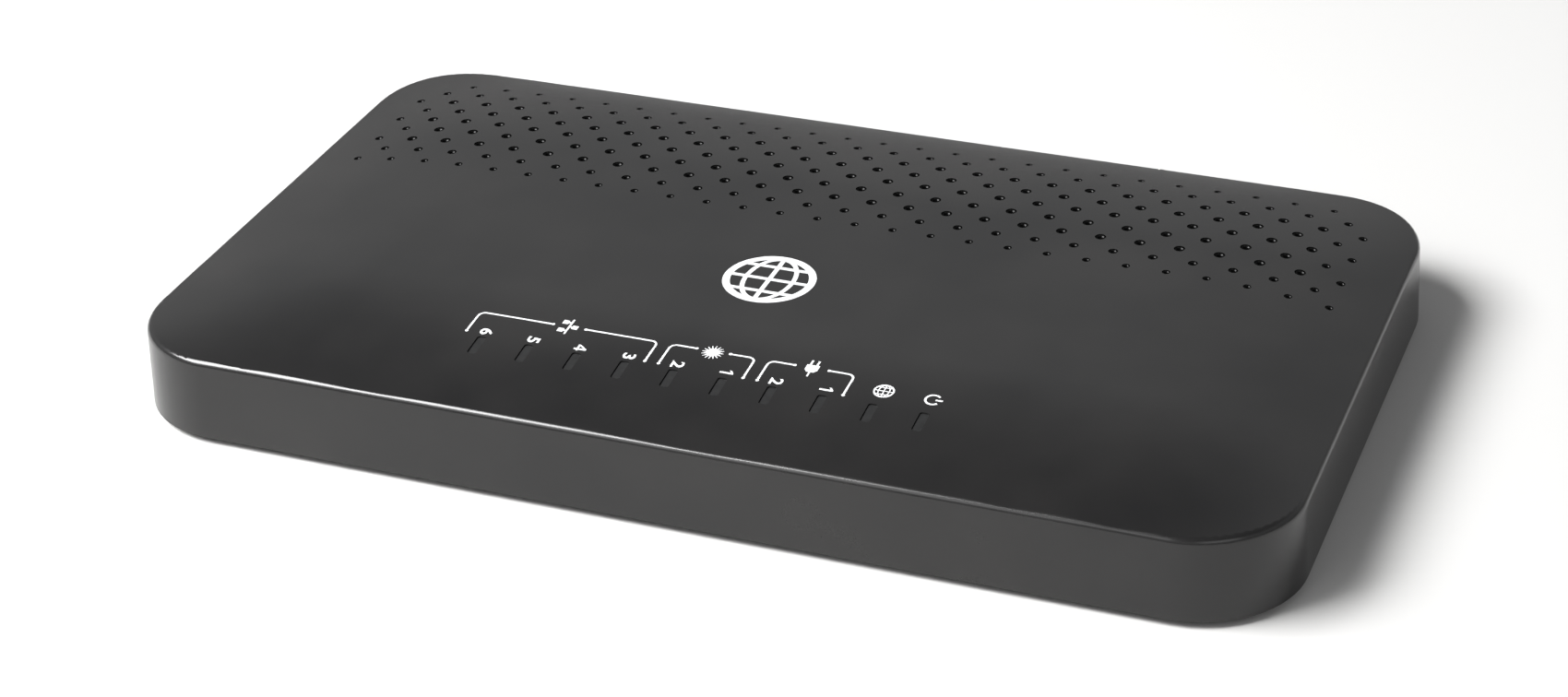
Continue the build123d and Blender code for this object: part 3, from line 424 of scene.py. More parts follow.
def on_crown(vertex):
    x, y, z = vertex.co / MM
    return abs(z - crown_height(x, y)) < roof_tolerance


roof = {face for face in shell.faces if face.normal.z > 0.9 and all(on_crown(v) for v in face.verts)}
rim_edges = [edge for edge in shell.edges if len(roof.intersection(edge.link_faces)) == 1]
shell_loops = loops_of(rim_edges)
outline = max(shell_loops, key=lambda chain: max(v.co.x for v in chain))
slots = [chain for chain in shell_loops if chain is not outline]
bowl_mesh = bmesh.new()
bowl_mesh.from_mesh(dimples)
bmesh.ops.remove_doubles(bowl_mesh, verts=bowl_mesh.verts, dist=1e-7)
bowl_loops = loops_of([edge for edge in bowl_mesh.edges if len(edge.link_faces) == 1])

points = []
borders = []
border_heights = []
hollows = []
for chain in [outline] + slots + bowl_loops:
    first = len(points)
    flat = [Vector((v.co.x / MM, v.co.y / MM)) for v in chain]
    points += flat
    borders += [(first + i, first + (i + 1) % len(chain)) for i in range(len(chain))]
    border_heights += [v.co.z for v in chain]
    if chain is not outline:
        middle = sum(flat, Vector((0.0, 0.0))) / len(flat)
        hollows.append((middle, max((p - middle).length for p in flat), flat))


def encloses(outline_points, point):
    """Whether a closed outline goes round a point: it crosses the ray to +X an odd number of times."""
    inside = False
    for i, here in enumerate(outline_points):
        last = outline_points[i - 1]
        if (here.y > point.y) != (last.y > point.y):
            crossing = here.x + (last.x - here.x) * (point.y - here.y) / (last.y - here.y)
            inside ^= crossing > point.x
    return inside


def inside_roof(x, y, margin):
    """Whether a point lies within the roof's rounded outline by at least a margin."""
    across = abs(x) - (top_width / 2 - corner_radius)
    along = abs(y - middle_y) - (top_depth / 2 - corner_radius)
    beyond = math.hypot(max(across, 0), max(along, 0)) + min(max(across, along), 0)
    return beyond < corner_radius - margin


first_scatter = len(points)
for i in range(-scatter_columns, scatter_columns + 1):
    for j in range(-scatter_rows, scatter_rows + 1):
        spot = Vector(((i + 0.5 * (j % 2)) * scatter_step, middle_y + j * scatter_step * row_squeeze))
        clear = all((spot - middle).length > radius + rim_margin for middle, radius, _ in hollows)
        if clear and inside_roof(spot.x, spot.y, edge_margin):
            points.append(spot)
flat_points, _, flat_faces, kept_from, _, _ = delaunay_2d_cdt(points, borders, [], 1, 1e-7)
roof_verts = []
for point, sources in zip(flat_points, kept_from):
    on_border = sources and sources[0] < first_scatter
    z = border_heights[sources[0]] if on_border else crown_height(*point) * MM
    roof_verts.append((point.x * MM, point.y * MM, z))
roof_faces = []
for face in flat_faces:
    centre = sum((flat_points[i] for i in face), Vector((0.0, 0.0))) / len(face)
    if not any((centre - m).length < r and encloses(flat, centre) for m, r, flat in hollows):
        roof_faces.append(face)
laid = bpy.data.meshes.new("roof_laid")
laid.from_pydata(roof_verts, [], roof_faces)
bmesh.ops.delete(shell, geom=list(roof), context="FACES")
bowl_data = bpy.data.meshes.new("bowl_data")
bowl_mesh.to_mesh(bowl_data)
marker = shell.faces.layers.int.new("skin")
for data, kind in ((laid, ROOF), (bowl_data, BOWL)):
    before = set(shell.faces)
    shell.from_mesh(data)
    for face in shell.faces:
        if face not in before:
            face[marker] = kind
            face.material_index = 1 if kind == BOWL else 0
bmesh.ops.remove_doubles(shell, verts=shell.verts, dist=seam_weld)
bmesh.ops.recalc_face_normals(shell, faces=shell.faces)
shell.normal_update()

# The outer skin is shaded by the shape it was moulded to: drafted walls, a rounded edge, the
# crown. Elsewhere the faces keep their own normals, with sharp corners left sharp.
sample_inset = 0.5
sharp_angle = math.radians(32)
round_depth = 1.2
round_inset = 2.3
wall_tolerance = 0.08
wall_facing = 0.98
round_facing = 0.02


def outward_at(x, y):
    """The outward direction of the case's outline nearest to a point, and its inset from it."""
    across = abs(x) - (case_width / 2 - corner_radius)
    along = abs(y - middle_y) - (case_depth / 2 - corner_radius)
    if across > 0 and along > 0:
        length = math.hypot(across, along)
        away = Vector((across / length, along / length))
        inset = corner_radius - length
    elif across > along:
        away = Vector((1.0, 0.0))
        inset = corner_radius - across
    else:
        away = Vector((0.0, 1.0))
        inset = corner_radius - along
    return Vector((math.copysign(away.x, x), math.copysign(away.y, y - middle_y), 0.0)), inset


def skin_normal(vertex):
    """The moulded normal of the outer skin at a vertex of the wall or of the rounded edge."""
    x, y, z = vertex.co / MM
    away, inset = outward_at(x, y)
    roof_point = Vector((x, y, 0.0)) + away * (inset - top_inset)
    roof = crown_normal(roof_point.x - away.x * sample_inset, roof_point.y - away.y * sample_inset)
    tilt = math.atan2(roof.dot(away), roof.z)
    # the centre of the edge's round, in inset and height, touches wall and roof lines
    a1, b1 = -math.cos(wall_draft), math.sin(wall_draft)
    a2, b2 = -math.sin(tilt), math.cos(tilt)
    edge = crown_height(roof_point.x, roof_point.y)
    c1 = a1 * top_inset + b1 * edge - edge_round
    c2 = a2 * top_inset + b2 * edge - edge_round
    det = a1 * b2 - a2 * b1
    centre_inset = (c1 * b2 - c2 * b1) / det
    centre_z = (a1 * c2 - a2 * c1) / det
    angle = math.atan2(z - centre_z, centre_inset - inset)
    angle = min(max(angle, wall_draft), math.pi / 2 - tilt)
    return away * math.cos(angle) + Vector((0.0, 0.0, math.sin(angle)))


def on_skin(face):
    """Whether a face of the CAD shell is on its outer wall or on the round of its top edge."""
    middle = face.calc_center_median() / MM
    away, inset = outward_at(middle.x, middle.y)
    slope = face.normal.dot(away)
    if middle.z < edge_z - round_depth:
        wall_inset = (middle.z - foot_height) * math.tan(wall_draft)
        return abs(inset - wall_inset) < wall_tolerance and slope > wall_facing
    return inset < round_inset and slope > round_facing


for face in shell.faces:
    face.smooth = True
    if face[marker] == INSIDE and on_skin(face):
        face[marker] = SKIN
for edge in shell.edges:
    kinds = {face[marker] for face in edge.link_faces}
    flowing = kinds <= {SKIN, ROOF} or kinds == {BOWL}
    edge.smooth = flowing or (kinds == {INSIDE} and edge.calc_face_angle(math.pi) < sharp_angle)
corner_normals = []
for face in shell.faces:
    for corner in face.loops:
        vertex = corner.vert
        if face[marker] not in (SKIN, ROOF):
            corner_normals.append(Vector((0.0, 0.0, 0.0)))
        elif any(other[marker] == ROOF for other in vertex.link_faces):
            corner_normals.append(crown_normal(vertex.co.x / MM, vertex.co.y / MM))
        else:
            corner_normals.append(skin_normal(vertex))
cover_mesh = bpy.data.meshes.new("top_cover_visual")
shell.to_mesh(cover_mesh)
shell.free()
cover_mesh.materials.append(cover_finish.material)
cover_mesh.materials.append(dimple_painted_shade.material)
cover_mesh.normals_split_custom_set(corner_normals)
cover = placed("cover_shell", cover_mesh)
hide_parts("top_cover")
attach(cover, "case")


# ---------------------------------------------------------------- signs on the roof
# White pad printing beside the lamps: the number of each socket, a bracket over each group
# with the group's sign in its gap, and a round net sign in the middle. Ink, 0.02 mm thick.
front_y = case_low.y
number_y = front_y + 22.75
bracket_y = front_y + 28.6
bracket_foot = front_y + 22.15
bracket_line = 0.42
bracket_end_radius = 0.34
lamp_pitch = 9.87
lamp_places = [(i - 4.5) * lamp_pitch for i in range(10)]
plug_x = 19.72
print_thickness = 0.02
signs = bmesh.new()


def ribbon(path, width, closed=False):
    """A flat line of even width along a path of points."""
    count = len(path)
    sides = []
    for i, point in enumerate(path):
        before = path[i - 1] if i > 0 or closed else point
        after = path[(i + 1) % count] if i < count - 1 or closed else point
        along = (Vector(after) - Vector(before)).normalized()
        across = Vector((-along.y, along.x)) * width / 2
        sides.append([signs.verts.new((*(Vector(point) + side), 0.0)) for side in (across, -across)])
    for i in range(count if closed else count - 1):
        left, right = sides[i], sides[(i + 1) % count]
        signs.faces.new((left[0], left[1], right[1], right[0]))


def disc(x, y, radius, sides=16):
    signs.faces.new([signs.verts.new((x + radius * math.cos(2 * math.pi * i / sides),
                                      y + radius * math.sin(2 * math.pi * i / sides), 0.0))
                     for i in range(sides)])


def patch(*corners):
    signs.faces.new([signs.verts.new((*corner, 0.0)) for corner in corners])


def arc(x, y, radius, start, stop, steps):
    return [(x + radius * math.cos(math.radians(start + (stop - start) * i / steps)),
             y + radius * math.sin(math.radians(start + (stop - start) * i / steps)))
            for i in range(steps + 1)]


def straight(start, stop, step=1.5):
    steps = max(1, round((Vector(stop) - Vector(start)).length / step))
    return [tuple(Vector(start).lerp(Vector(stop), i / steps)) for i in range(steps + 1)]


def bracket(left, right, gap_at, gap=3.4, bend=1.3):
    """A line over a group of lamps, bent down at both ends and open in the middle for a sign."""
    ribbon(straight((left, bracket_foot), (left, bracket_y - bend))
           + arc(left + bend, bracket_y - bend, bend, 180, 90, 6)[1:]
           + straight((left + bend, bracket_y), (gap_at - gap, bracket_y))[1:], bracket_line)
    ribbon(straight((right, bracket_foot), (right, bracket_y - bend))
           + arc(right - bend, bracket_y - bend, bend, 0, 90, 6)[1:]
           + straight((right - bend, bracket_y), (gap_at + gap, bracket_y))[1:], bracket_line)
    for x, y in ((left, bracket_foot), (right, bracket_foot), (gap_at - gap, bracket_y),
                 (gap_at + gap, bracket_y)):
        disc(x, y, bracket_end_radius)


def number(text, x, y, height=2.45, font_height=0.70, widening=1.2):
    """A numeral whose top points to the right-hand side of the case."""
    letter = bpy.data.curves.new("numeral", "FONT")
    letter.body = text
    letter.size = height / font_height
    letter.align_x = "CENTER"
    letter.align_y = "CENTER"
    letter.offset = 0.065
    letter.resolution_u = 4
    holder = placed("numeral", letter)
    graph = bpy.context.evaluated_depsgraph_get()
    flat = bpy.data.meshes.new_from_object(holder.evaluated_get(graph), depsgraph=graph)
    low = Vector((min(v.co.x for v in flat.vertices), min(v.co.y for v in flat.vertices), 0.0))
    high = Vector((max(v.co.x for v in flat.vertices), max(v.co.y for v in flat.vertices), 0.0))
    flat.transform(Matrix.Translation(-(low + high) / 2))
    flat.transform(Matrix.Translation((x, y, 0.0)) @ Matrix.Rotation(-math.pi / 2, 4, "Z")
                   @ Matrix.Diagonal((widening, 1.0, 1.0, 1.0)))
    signs.from_mesh(flat)
    bpy.data.objects.remove(holder)


# the one and the four are drawn with straight strokes, the others are set in the plain font
for text, x in zip("65432121", lamp_places):
    if text == "1":
        ribbon(straight((x - 1.35, number_y), (x + 1.35, number_y)), 0.46)
        patch((x + 1.35, number_y + 0.1), (x + 0.95, number_y + 0.1), (x + 0.35, number_y + 0.85),
              (x + 0.80, number_y + 0.85))
    elif text == "4":
        ribbon(straight((x - 1.25, number_y - 0.45), (x + 1.25, number_y - 0.45)), 0.42)
        ribbon(straight((x + 1.12, number_y - 0.35), (x - 0.45, number_y + 0.82)), 0.34)
        ribbon(straight((x - 0.55, number_y + 0.95), (x - 0.55, number_y - 0.95)), 0.40)
    else:
        number(text, x + 0.05, number_y)
# each bracket's two ends and the middle of its gap
bracket(-48.3, -11.3, -29.62)
bracket(-8.5, 8.5, 0.0)
bracket(11.3, 28.2, plug_x)

# wired network: one box joined to two others, lying on its side
net_x, net_line, net_rise, box_half = -29.7, 0.40, 1.35, 0.60
ribbon(straight((net_x, bracket_y + 2.5), (net_x, bracket_y - 2.5)), net_line)
ribbon(straight((net_x, bracket_y), (net_x + 0.8, bracket_y)), net_line)
for x, y in ((net_x + 1.20, bracket_y), (net_x - 1.25, bracket_y + net_rise),
             (net_x - 1.25, bracket_y - net_rise)):
    patch((x - box_half, y - box_half), (x + box_half, y - box_half),
          (x + box_half, y + box_half), (x - box_half, y + box_half))
for y in (bracket_y + net_rise, bracket_y - net_rise):
    ribbon(straight((net_x - 0.8, y), (net_x, y)), net_line)

# light: a small disc with slim rays
burst, rays = Vector((0.0, bracket_y - 0.4)), 16
ray_foot, ray_tip, foot_half, tip_half = 1.15, 2.15, 0.17, 0.07
disc(0.0, bracket_y - 0.4, 1.25, 32)
for i in range(rays):
    away = Vector((math.cos(2 * math.pi * i / rays), math.sin(2 * math.pi * i / rays)))
    aside = Vector((-away.y, away.x))
    root, tip = burst + ray_foot * away, burst + ray_tip * away
    patch(root - foot_half * aside, tip - tip_half * aside, tip + tip_half * aside,
          root + foot_half * aside)

# plug-in socket: a plug with two prongs, its lead towards the front
patch((plug_x - 1.25, bracket_y + 0.9), (plug_x - 1.25, bracket_y - 0.7), (plug_x - 0.7, bracket_y - 1.4),
      (plug_x + 0.7, bracket_y - 1.4), (plug_x + 1.25, bracket_y - 0.7), (plug_x + 1.25, bracket_y + 0.9))
for x in (plug_x - 0.65, plug_x + 0.65):
    ribbon(straight((x, bracket_y + 0.9), (x, bracket_y + 2.4)), 0.42)
ribbon(straight((plug_x, bracket_y - 1.4), (plug_x, bracket_y - 2.8)), 0.36)


def globe(x, y, radius, line, ring_steps=80, waist_steps=60):
    """A round net of meridians and parallels, the usual sign for the outside network."""
    inner = radius - line / 2
    thin = line * 0.62
    waist = 0.52 * radius
    ribbon(arc(x, y, inner, 0, 360, ring_steps)[:-1], line, closed=True)
    ribbon(straight((x, y - inner), (x, y + inner), 1.0), thin)
    for rise in (0.0, -waist, waist):
        half = math.sqrt(inner * inner - rise * rise)
        ribbon(straight((x - half, y + rise), (x + half, y + rise), 1.0), thin)
    turns = [2 * math.pi * i / waist_steps for i in range(waist_steps)]
    ribbon([(x + waist * math.cos(turn), y + (radius - line * 0.8) * math.sin(turn)) for turn in turns],
           thin, closed=True)


globe(35.0, front_y + 25.3, 2.0, 0.34)
globe(0.0, front_y + 57.0, 9.2, 1.5)

# power: an open ring with a stroke through the gap
power_x, power_y, power_line = lamp_places[9] + 0.1, front_y + 25.2, 0.42
ribbon(arc(power_x, power_y, 1.42, 42, 318, 28), power_line)
ribbon(straight((power_x + 0.5, power_y), (power_x + 1.85, power_y)), power_line)

ink = Finish("print_white", (0.80, 0.81, 0.82))
ink.tint(limit(0.5 * ink.noise(0.4, 3.0)), (0.66, 0.67, 0.68))
ink.lead("Roughness", 0.4 + 0.15 * ink.noise(0.3))

# Strokes cross and touch, so all are cut where they meet and united into one flat sheet.
stroke_tolerance = 1e-3
signs.normal_update()
signs.verts.index_update()
for face in signs.faces:
    if face.normal.z < 0:
        face.normal_flip()
strokes = [[vertex.index for vertex in face.verts] for face in signs.faces]
sheet_points, _, sheet_faces, _, _, covered_by = delaunay_2d_cdt(
    [vertex.co.xy for vertex in signs.verts], [], strokes, 1, stroke_tolerance)
signs.free()
flat_signs = bpy.data.meshes.new("flat_signs")
flat_signs.from_pydata([(point.x, point.y, 0.0) for point in sheet_points], [],
                       [face for face, covers in zip(sheet_faces, covered_by) if covers])
sign_sizes = {"Ink Thickness": print_thickness, "Finish": ink.material}
tree, wire = new_group("laid_on_crown", **sign_sizes)
# the ink's foot is sunk half its thickness into the roof, so that no gap shows under it
under = lifted(wire["Geometry"], -0.5 * wire["Ink Thickness"])
upwards = under.point(0.0, 0.0, 1.0)
over = under.node("GeometryNodeExtrudeMesh", inputs={
    "Mesh": under, "Offset": upwards, "Offset Scale": 1.5 * MM * wire["Ink Thickness"],
    "Individual": False})
solid = tree.nodes.new("GeometryNodeJoinGeometry")
tree.links.new(over.socket, solid.inputs[0])
tree.links.new(under.node("GeometryNodeFlipFaces", inputs={0: under}).socket, solid.inputs[0])
solid = under.node("GeometryNodeMergeByDistance", inputs={0: Wire(tree, solid.outputs[0]), "Distance": 1e-6})
end_group(tree, solid, wire["Finish"])
sign_mesh = grown(tree, flat_signs, sign_sizes)
roof_signs = placed("roof_signs", sign_mesh)
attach(roof_signs, "case")


# ---------------------------------------------------------------- base plate and sockets' panel
# Both are moulded in the same black plastic as the cover but spark-textured, so they look
# flatter. The base carries the board and drops inside the walls; the panel slides in behind.
def give(material, *names):
    """The finish of carried-over pieces."""
    for name in names:
        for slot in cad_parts[name].material_slots:
            slot.material = material


base_finish = Finish("base_matt_black", (0.016, 0.016, 0.0165))
spark = base_finish.noise(0.28, 4.0)
base_finish.tint(limit(0.9 * base_finish.noise(9.0, 3.0) - 0.2), (0.024, 0.0235, 0.023))
base_finish.lead("Roughness", 0.52 + 0.2 * spark)
base_finish.bump(spark, 0.02, 0.6)
give(base_finish.material, "base_plate", "rear_panel")


# ---------------------------------------------------------------- rubber feet
# Four soft grey-black pads, stuck in round pockets of the base; a little dust on the tread.
rubber = Finish("foot_rubber", (0.022, 0.022, 0.023), Specular_IOR_Level=0.3)
rubber.tint(limit(1.6 * rubber.noise(1.8, 4.0) - 0.55), (0.06, 0.058, 0.055))
rubber.lead("Roughness", 0.75 + 0.2 * rubber.noise(0.6))
rubber.bump(rubber.noise(0.2, 2.0), 0.015, 0.5)
give(rubber.material, "rubber_feet")


# ---------------------------------------------------------------- screws
# Self-tapping steel screws, zinc plated: four through the base into the cover's bosses, four
# through the board and two that hold the light guide up under the roof.
zinc = Finish("screw_zinc", (0.60, 0.60, 0.61), Metallic=1.0)
turned = zinc.noise(0.25, 3.0, (1.0, 1.0, 0.25))
zinc.tint(limit(turned), (0.48, 0.47, 0.45))
zinc.lead("Roughness", 0.24 + 0.2 * turned)
zinc.bump(turned, 0.006, 0.5)
give(zinc.material, "case_screws", "board_screws", "guide_screws")


# ---------------------------------------------------------------- lamps
# Ten yellow-capped lamps on the board shine up through one clear smoked moulding, whose
# prongs end just under the roof in its slots; a black divider keeps each lamp's light apart.
smoke = Finish("guide_smoked", (0.014, 0.0142, 0.0145), IOR=1.49)
haze = smoke.noise(1.2, 2.0)
smoke.tint(limit(1.3 * haze - 0.3), (0.022, 0.0222, 0.0225))
smoke.lead("Roughness", 0.24 + 0.12 * haze)
give(smoke.material, "light_guide")
phosphor = Finish("lamp_phosphor", (0.75, 0.62, 0.16))
phosphor.tint(limit(1.5 * phosphor.noise(0.5) - 0.3), (0.86, 0.80, 0.50))
phosphor.lead("Roughness", 0.4 + 0.2 * phosphor.noise(0.2))
give(phosphor.material, "lamp_leds")
divider = Finish("divider_black", (0.012, 0.012, 0.012))
divider.lead("Roughness", 0.6 + 0.2 * divider.noise(0.5, 3.0))
divider.bump(divider.noise(0.3), 0.01, 0.4)
give(divider.material, "lamp_divider")


# ---------------------------------------------------------------- network sockets
# Four sockets moulded as one black block with eight gilt sprung wires in each, under a
# tin-plated shield that is soldered to the board and touches the panel all round.
socket_black = Finish("socket_black", (0.018, 0.018, 0.019))
flow = socket_black.noise(3.0, 3.0)
socket_black.tint(limit(flow), (0.026, 0.026, 0.026))
socket_black.lead("Roughness", 0.34 + 0.18 * flow)
socket_black.bump(socket_black.noise(0.25), 0.008, 0.4)
give(socket_black.material, "lan_socket_block", "dc_inlet_body", "power_switch_body",
     "reset_switch_body")
tin = Finish("shield_tin", (0.66, 0.66, 0.64), Metallic=1.0)
rolled_grain = tin.noise(0.5, 4.0, (8.0, 1.0, 1.0))
tin.tint(limit(1.2 * rolled_grain - 0.1), (0.52, 0.52, 0.51))
tin.lead("Roughness", 0.2 + 0.25 * rolled_grain)
tin.bump(rolled_grain, 0.004, 0.5)
give(tin.material, "lan_socket_shield", "usb_1_shell", "usb_2_shell", "shield_frame", "shield_lid")
gilt = Finish("contact_gilt", (0.83, 0.62, 0.24), Metallic=1.0)
gilt.tint(limit(1.5 * gilt.noise(0.8) - 0.4), (0.70, 0.50, 0.20))
gilt.lead("Roughness", 0.16 + 0.14 * gilt.noise(0.3))
give(gilt.material, "lan_socket_wires", "usb_contacts", "coax_contact")


# ---------------------------------------------------------------- optical sockets
# Two green adapters for square push-in plugs, each with a white ceramic sleeve inside and a
# turned metal can behind it that holds the laser or the detector.
green = Finish("adapter_green", (0.025, 0.22, 0.075))
swirl = green.noise(4.0, 3.0)
green.tint(limit(swirl), (0.03, 0.26, 0.10))
green.lead("Roughness", 0.3 + 0.16 * swirl)
green.bump(green.noise(0.3), 0.008, 0.3)
give(green.material, "optical_socket_1", "optical_socket_2")
ceramic = Finish("sleeve_ceramic", (0.82, 0.81, 0.77))
ceramic.tint(limit(ceramic.noise(1.5)), (0.78, 0.76, 0.70))
ceramic.lead("Roughness", 0.1 + 0.12 * ceramic.noise(0.4))
give(ceramic.material, "optical_sleeves")


# ---------------------------------------------------------------- serial bus sockets
# Folded tin-plated shells, named above with the shield, around a white plastic tongue.
tongue = Finish("tongue_white", (0.72, 0.72, 0.69))
tongue.tint(limit(tongue.noise(2.0)), (0.66, 0.66, 0.63))
tongue.lead("Roughness", 0.32 + 0.16 * tongue.noise(0.6))
give(tongue.material, "usb_1_tongue", "usb_2_tongue")


# ---------------------------------------------------------------- cable jack
# A die-cast jack, bright nickel over brass, whose threaded barrel is clamped to the panel by
# a washer and a nut; a white insulator holds the gilt contact.
nickel = Finish("jack_nickel", (0.72, 0.69, 0.63), Metallic=1.0)
plating = nickel.noise(0.7, 3.0)
nickel.tint(limit(1.3 * plating - 0.2), (0.60, 0.57, 0.52))
nickel.lead("Roughness", 0.14 + 0.16 * plating)
nickel.bump(nickel.noise(0.2), 0.004, 0.3)
give(nickel.material, "coax_washer", "coax_nut", "optical_modules", "dc_inlet_pin",
     "dc_inlet_spring")

# The barrel's plain wall is taken off a copy of the jack and laid again in close rings, which
# the thread's tree then draws in; the grooves run out before the neck and before the chamfer.
barrel_radius = 4.75
barrel_tolerance = 0.01
barrel_rings = 64
jack_sharp_angle = math.radians(40)
insulator_low, insulator_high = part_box("coax_insulator")
jack_x = (insulator_low.x + insulator_high.x) / 2 / MM
jack_z = (insulator_low.z + insulator_high.z) / 2 / MM
jack = bmesh.new()
jack.from_mesh(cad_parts["coax_jack"].data)
bmesh.ops.remove_doubles(jack, verts=jack.verts, dist=own_weld)


def from_axis(vertex):
    return math.hypot(vertex.co.x / MM - jack_x, vertex.co.z / MM - jack_z)


def round_axis(vertex):
    return math.atan2(vertex.co.z / MM - jack_z, vertex.co.x / MM - jack_x)


def on_barrel(face):
    lengthwise = max(v.co.y for v in face.verts) - min(v.co.y for v in face.verts) > MM
    return lengthwise and all(abs(from_axis(v) - barrel_radius) < barrel_tolerance for v in face.verts)


plain_wall = [face for face in jack.faces if on_barrel(face)]
wall_ys = [v.co.y for face in plain_wall for v in face.verts]
thread_start, thread_end = min(wall_ys), max(wall_ys)
wall_verts = sorted({v for face in plain_wall for v in face.verts}, key=round_axis)
first_ring = [v for v in wall_verts if abs(v.co.y - thread_start) < barrel_tolerance * MM]
last_ring = [v for v in wall_verts if abs(v.co.y - thread_end) < barrel_tolerance * MM]
bmesh.ops.delete(jack, geom=plain_wall, context="FACES")
rings = [first_ring]
for i in range(1, barrel_rings):
    rings.append([jack.verts.new(near.co.lerp(far.co, i / barrel_rings))
                  for near, far in zip(first_ring, last_ring)])
rings.append(last_ring)
for near, far in zip(rings, rings[1:]):
    for i in range(len(near)):
        jack.faces.new((near[i - 1], near[i], far[i], far[i - 1]))
bmesh.ops.recalc_face_normals(jack, faces=jack.faces)
for edge in jack.edges:
    edge.smooth = edge.calc_face_angle(math.pi) < jack_sharp_angle
for face in jack.faces:
    face.smooth = True
jack_mesh = bpy.data.meshes.new("jack_plain")
jack.to_mesh(jack_mesh)
jack.free()
thread_sizes = {
    "Pitch": 0.794, "Groove Depth": 0.40, "Run Out": 0.45, "Start": thread_start / MM,
    "End": thread_end / MM, "Axis X": jack_x, "Axis Z": jack_z, "Finish": nickel.material,
}
tree, wire = new_group("cut_thread", **thread_sizes)
here = wire["Pitch"].node("GeometryNodeInputPosition")
x = here.axis(0) / MM - wire["Axis X"]
y = here.axis(1) / MM
z = here.axis(2) / MM - wire["Axis Z"]
radius = (x * x + z * z) ** 0.5
turns = y / wire["Pitch"] + here.sum_of("ARCTAN2", z, x) / (2 * math.pi)
groove = 0.5 - 0.5 * here.sum_of("COSINE", turns * (2 * math.pi))
run_out = limit((y - wire["Start"]) / wire["Run Out"]) * limit((wire["End"] - y) / wire["Run Out"])
outer = here.sum_of("GREATER_THAN", radius, barrel_radius - 0.05)
shrink = 1 - outer * run_out * groove * wire["Groove Depth"] / radius
cut = here.point((x * shrink + wire["Axis X"]) * MM, y * MM, (z * shrink + wire["Axis Z"]) * MM)
threaded = here.node("GeometryNodeSetPosition", inputs={"Geometry": wire["Geometry"], "Position": cut})
end_group(tree, threaded, wire["Finish"])
jack_piece = placed("jack_threaded", grown(tree, jack_mesh, thread_sizes))
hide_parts("coax_jack")
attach(jack_piece, "case")
insulator = Finish("insulator_white", (0.80, 0.80, 0.78))
insulator.tint(limit(insulator.noise(1.5)), (0.72, 0.72, 0.70))
insulator.lead("Roughness", 0.36 + 0.18 * insulator.noise(0.4))
give(insulator.material, "coax_insulator")


# ---------------------------------------------------------------- buttons
# A round grey power button that snaps in behind the panel and rides on its switch's white
# plunger, and the small reset plunger that a pin reaches through the panel.
button_grey = Finish("button_grey", (0.11, 0.11, 0.115))
rub = button_grey.noise(1.4, 3.0)
button_grey.tint(limit(rub), (0.13, 0.13, 0.135))
button_grey.lead("Roughness", 0.32 + 0.16 * rub)
button_grey.bump(button_grey.noise(0.25), 0.006, 0.4)
give(button_grey.material, "power_button", "reset_button")
plunger = Finish("plunger_white", (0.74, 0.74, 0.72))
plunger.tint(limit(plunger.noise(1.2)), (0.68, 0.68, 0.66))
plunger.lead("Roughness", 0.32 + 0.16 * plunger.noise(0.4))
give(plunger.material, "power_plunger")


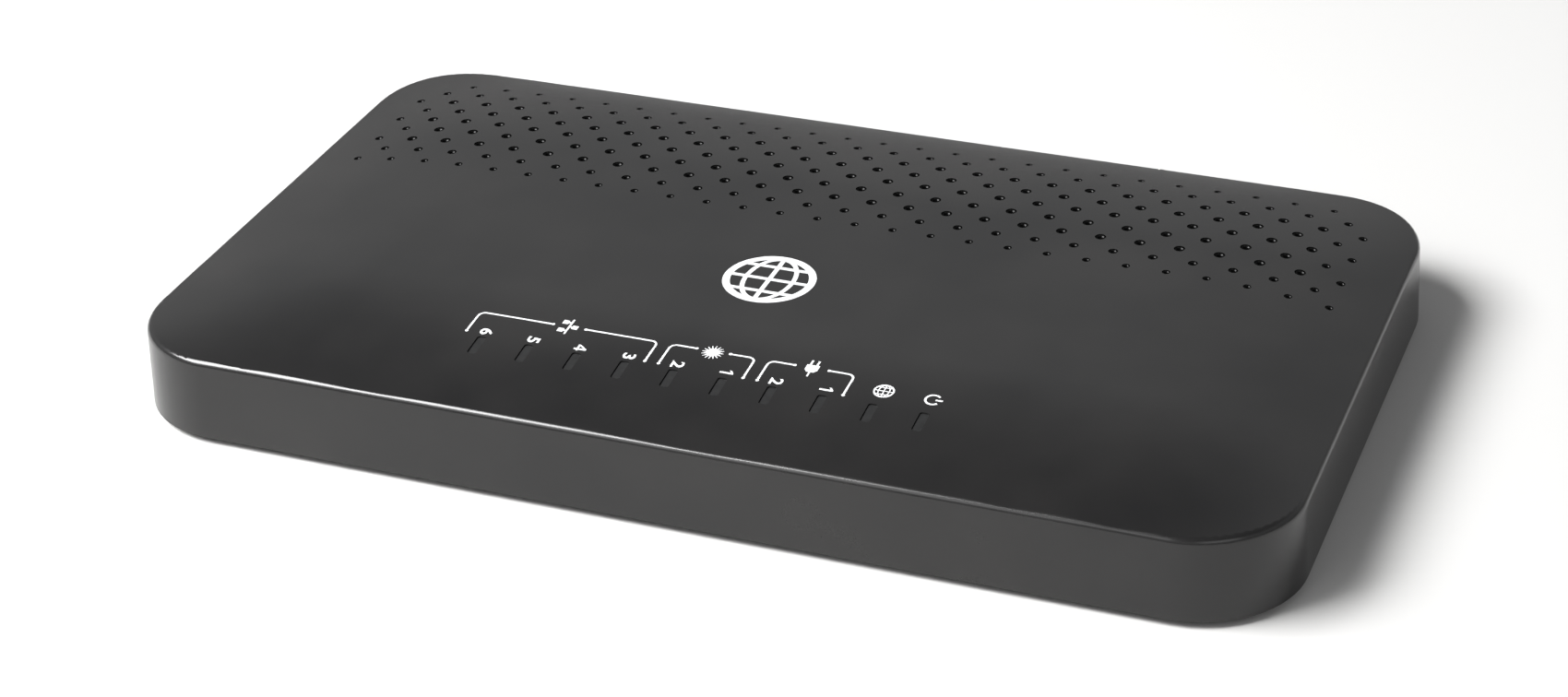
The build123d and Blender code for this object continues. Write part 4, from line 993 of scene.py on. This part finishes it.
# ---------------------------------------------------------------- main board and its parts
# A green glass-fibre board with copper tracks under the lacquer, and on it black chips, a
# finned heat sink on a thermal pad, coils, crystals, capacitors and the tuner's shield.
lacquer = Finish("board_lacquer", (0.014, 0.105, 0.045), Coat_Weight=0.3, Coat_Roughness=0.12)
tracks = lacquer.node("ShaderNodeTexBrick", {"offset": 0.37, "squash": 0.6}, {
    "Vector": lacquer.place, "Scale": 160.0, "Mortar Size": 0.035, "Mortar Smooth": 0.2}, output=1)
lacquer.tint(limit(0.75 * tracks + 0.15 * lacquer.noise(3.0)), (0.03, 0.18, 0.075))
lacquer.lead("Roughness", 0.24 + 0.16 * lacquer.noise(1.5))
lacquer.bump(tracks, 0.03, 0.6)
give(lacquer.material, "main_board")
package = Finish("package_black", (0.017, 0.017, 0.018))
fill = package.noise(0.22, 3.0)
package.tint(limit(fill), (0.03, 0.03, 0.031))
package.lead("Roughness", 0.4 + 0.25 * fill)
package.bump(fill, 0.008, 0.5)
give(package.material, "processor", "memory_chips", "flash_chip", "switch_chip", "lan_transformers",
     "power_inductors", "regulators", "tuner_chip")
anodised = Finish("sink_aluminium", (0.66, 0.67, 0.68), Metallic=1.0)
drawn = anodised.noise(0.3, 4.0, (1.0, 30.0, 1.0))
anodised.tint(limit(drawn), (0.56, 0.57, 0.58))
anodised.lead("Roughness", 0.24 + 0.22 * drawn)
anodised.bump(drawn, 0.005, 0.5)
give(anodised.material, "heat_sink")
nylon = Finish("pin_nylon", (0.70, 0.70, 0.66))
nylon.tint(limit(nylon.noise(1.0)), (0.62, 0.62, 0.58))
nylon.lead("Roughness", 0.38 + 0.18 * nylon.noise(0.4))
give(nylon.material, "heat_sink_pins")
pad = Finish("pad_silicone", (0.33, 0.40, 0.47))
pad.tint(limit(pad.noise(0.6, 3.0)), (0.42, 0.48, 0.55))
pad.lead("Roughness", 0.65 + 0.2 * pad.noise(0.4))
give(pad.material, "thermal_pad")
can = Finish("crystal_can", (0.70, 0.70, 0.70), Metallic=1.0)
can.tint(limit(can.noise(0.9)), (0.6, 0.6, 0.6))
can.lead("Roughness", 0.16 + 0.18 * can.noise(0.4, 3.0))
give(can.material, "crystals")
sleeve = Finish("capacitor_can", (0.52, 0.53, 0.55), Metallic=0.9)
sleeve.tint(limit(sleeve.noise(0.8, 3.0)), (0.42, 0.43, 0.46))
sleeve.lead("Roughness", 0.22 + 0.2 * sleeve.noise(0.3, 3.0))
give(sleeve.material, "storage_capacitors")
clay = Finish("capacitor_tan", (0.42, 0.28, 0.15))
clay.tint(limit(clay.noise(0.7)), (0.52, 0.38, 0.22))
clay.lead("Roughness", 0.38 + 0.18 * clay.noise(0.3))
give(clay.material, "chip_capacitors")
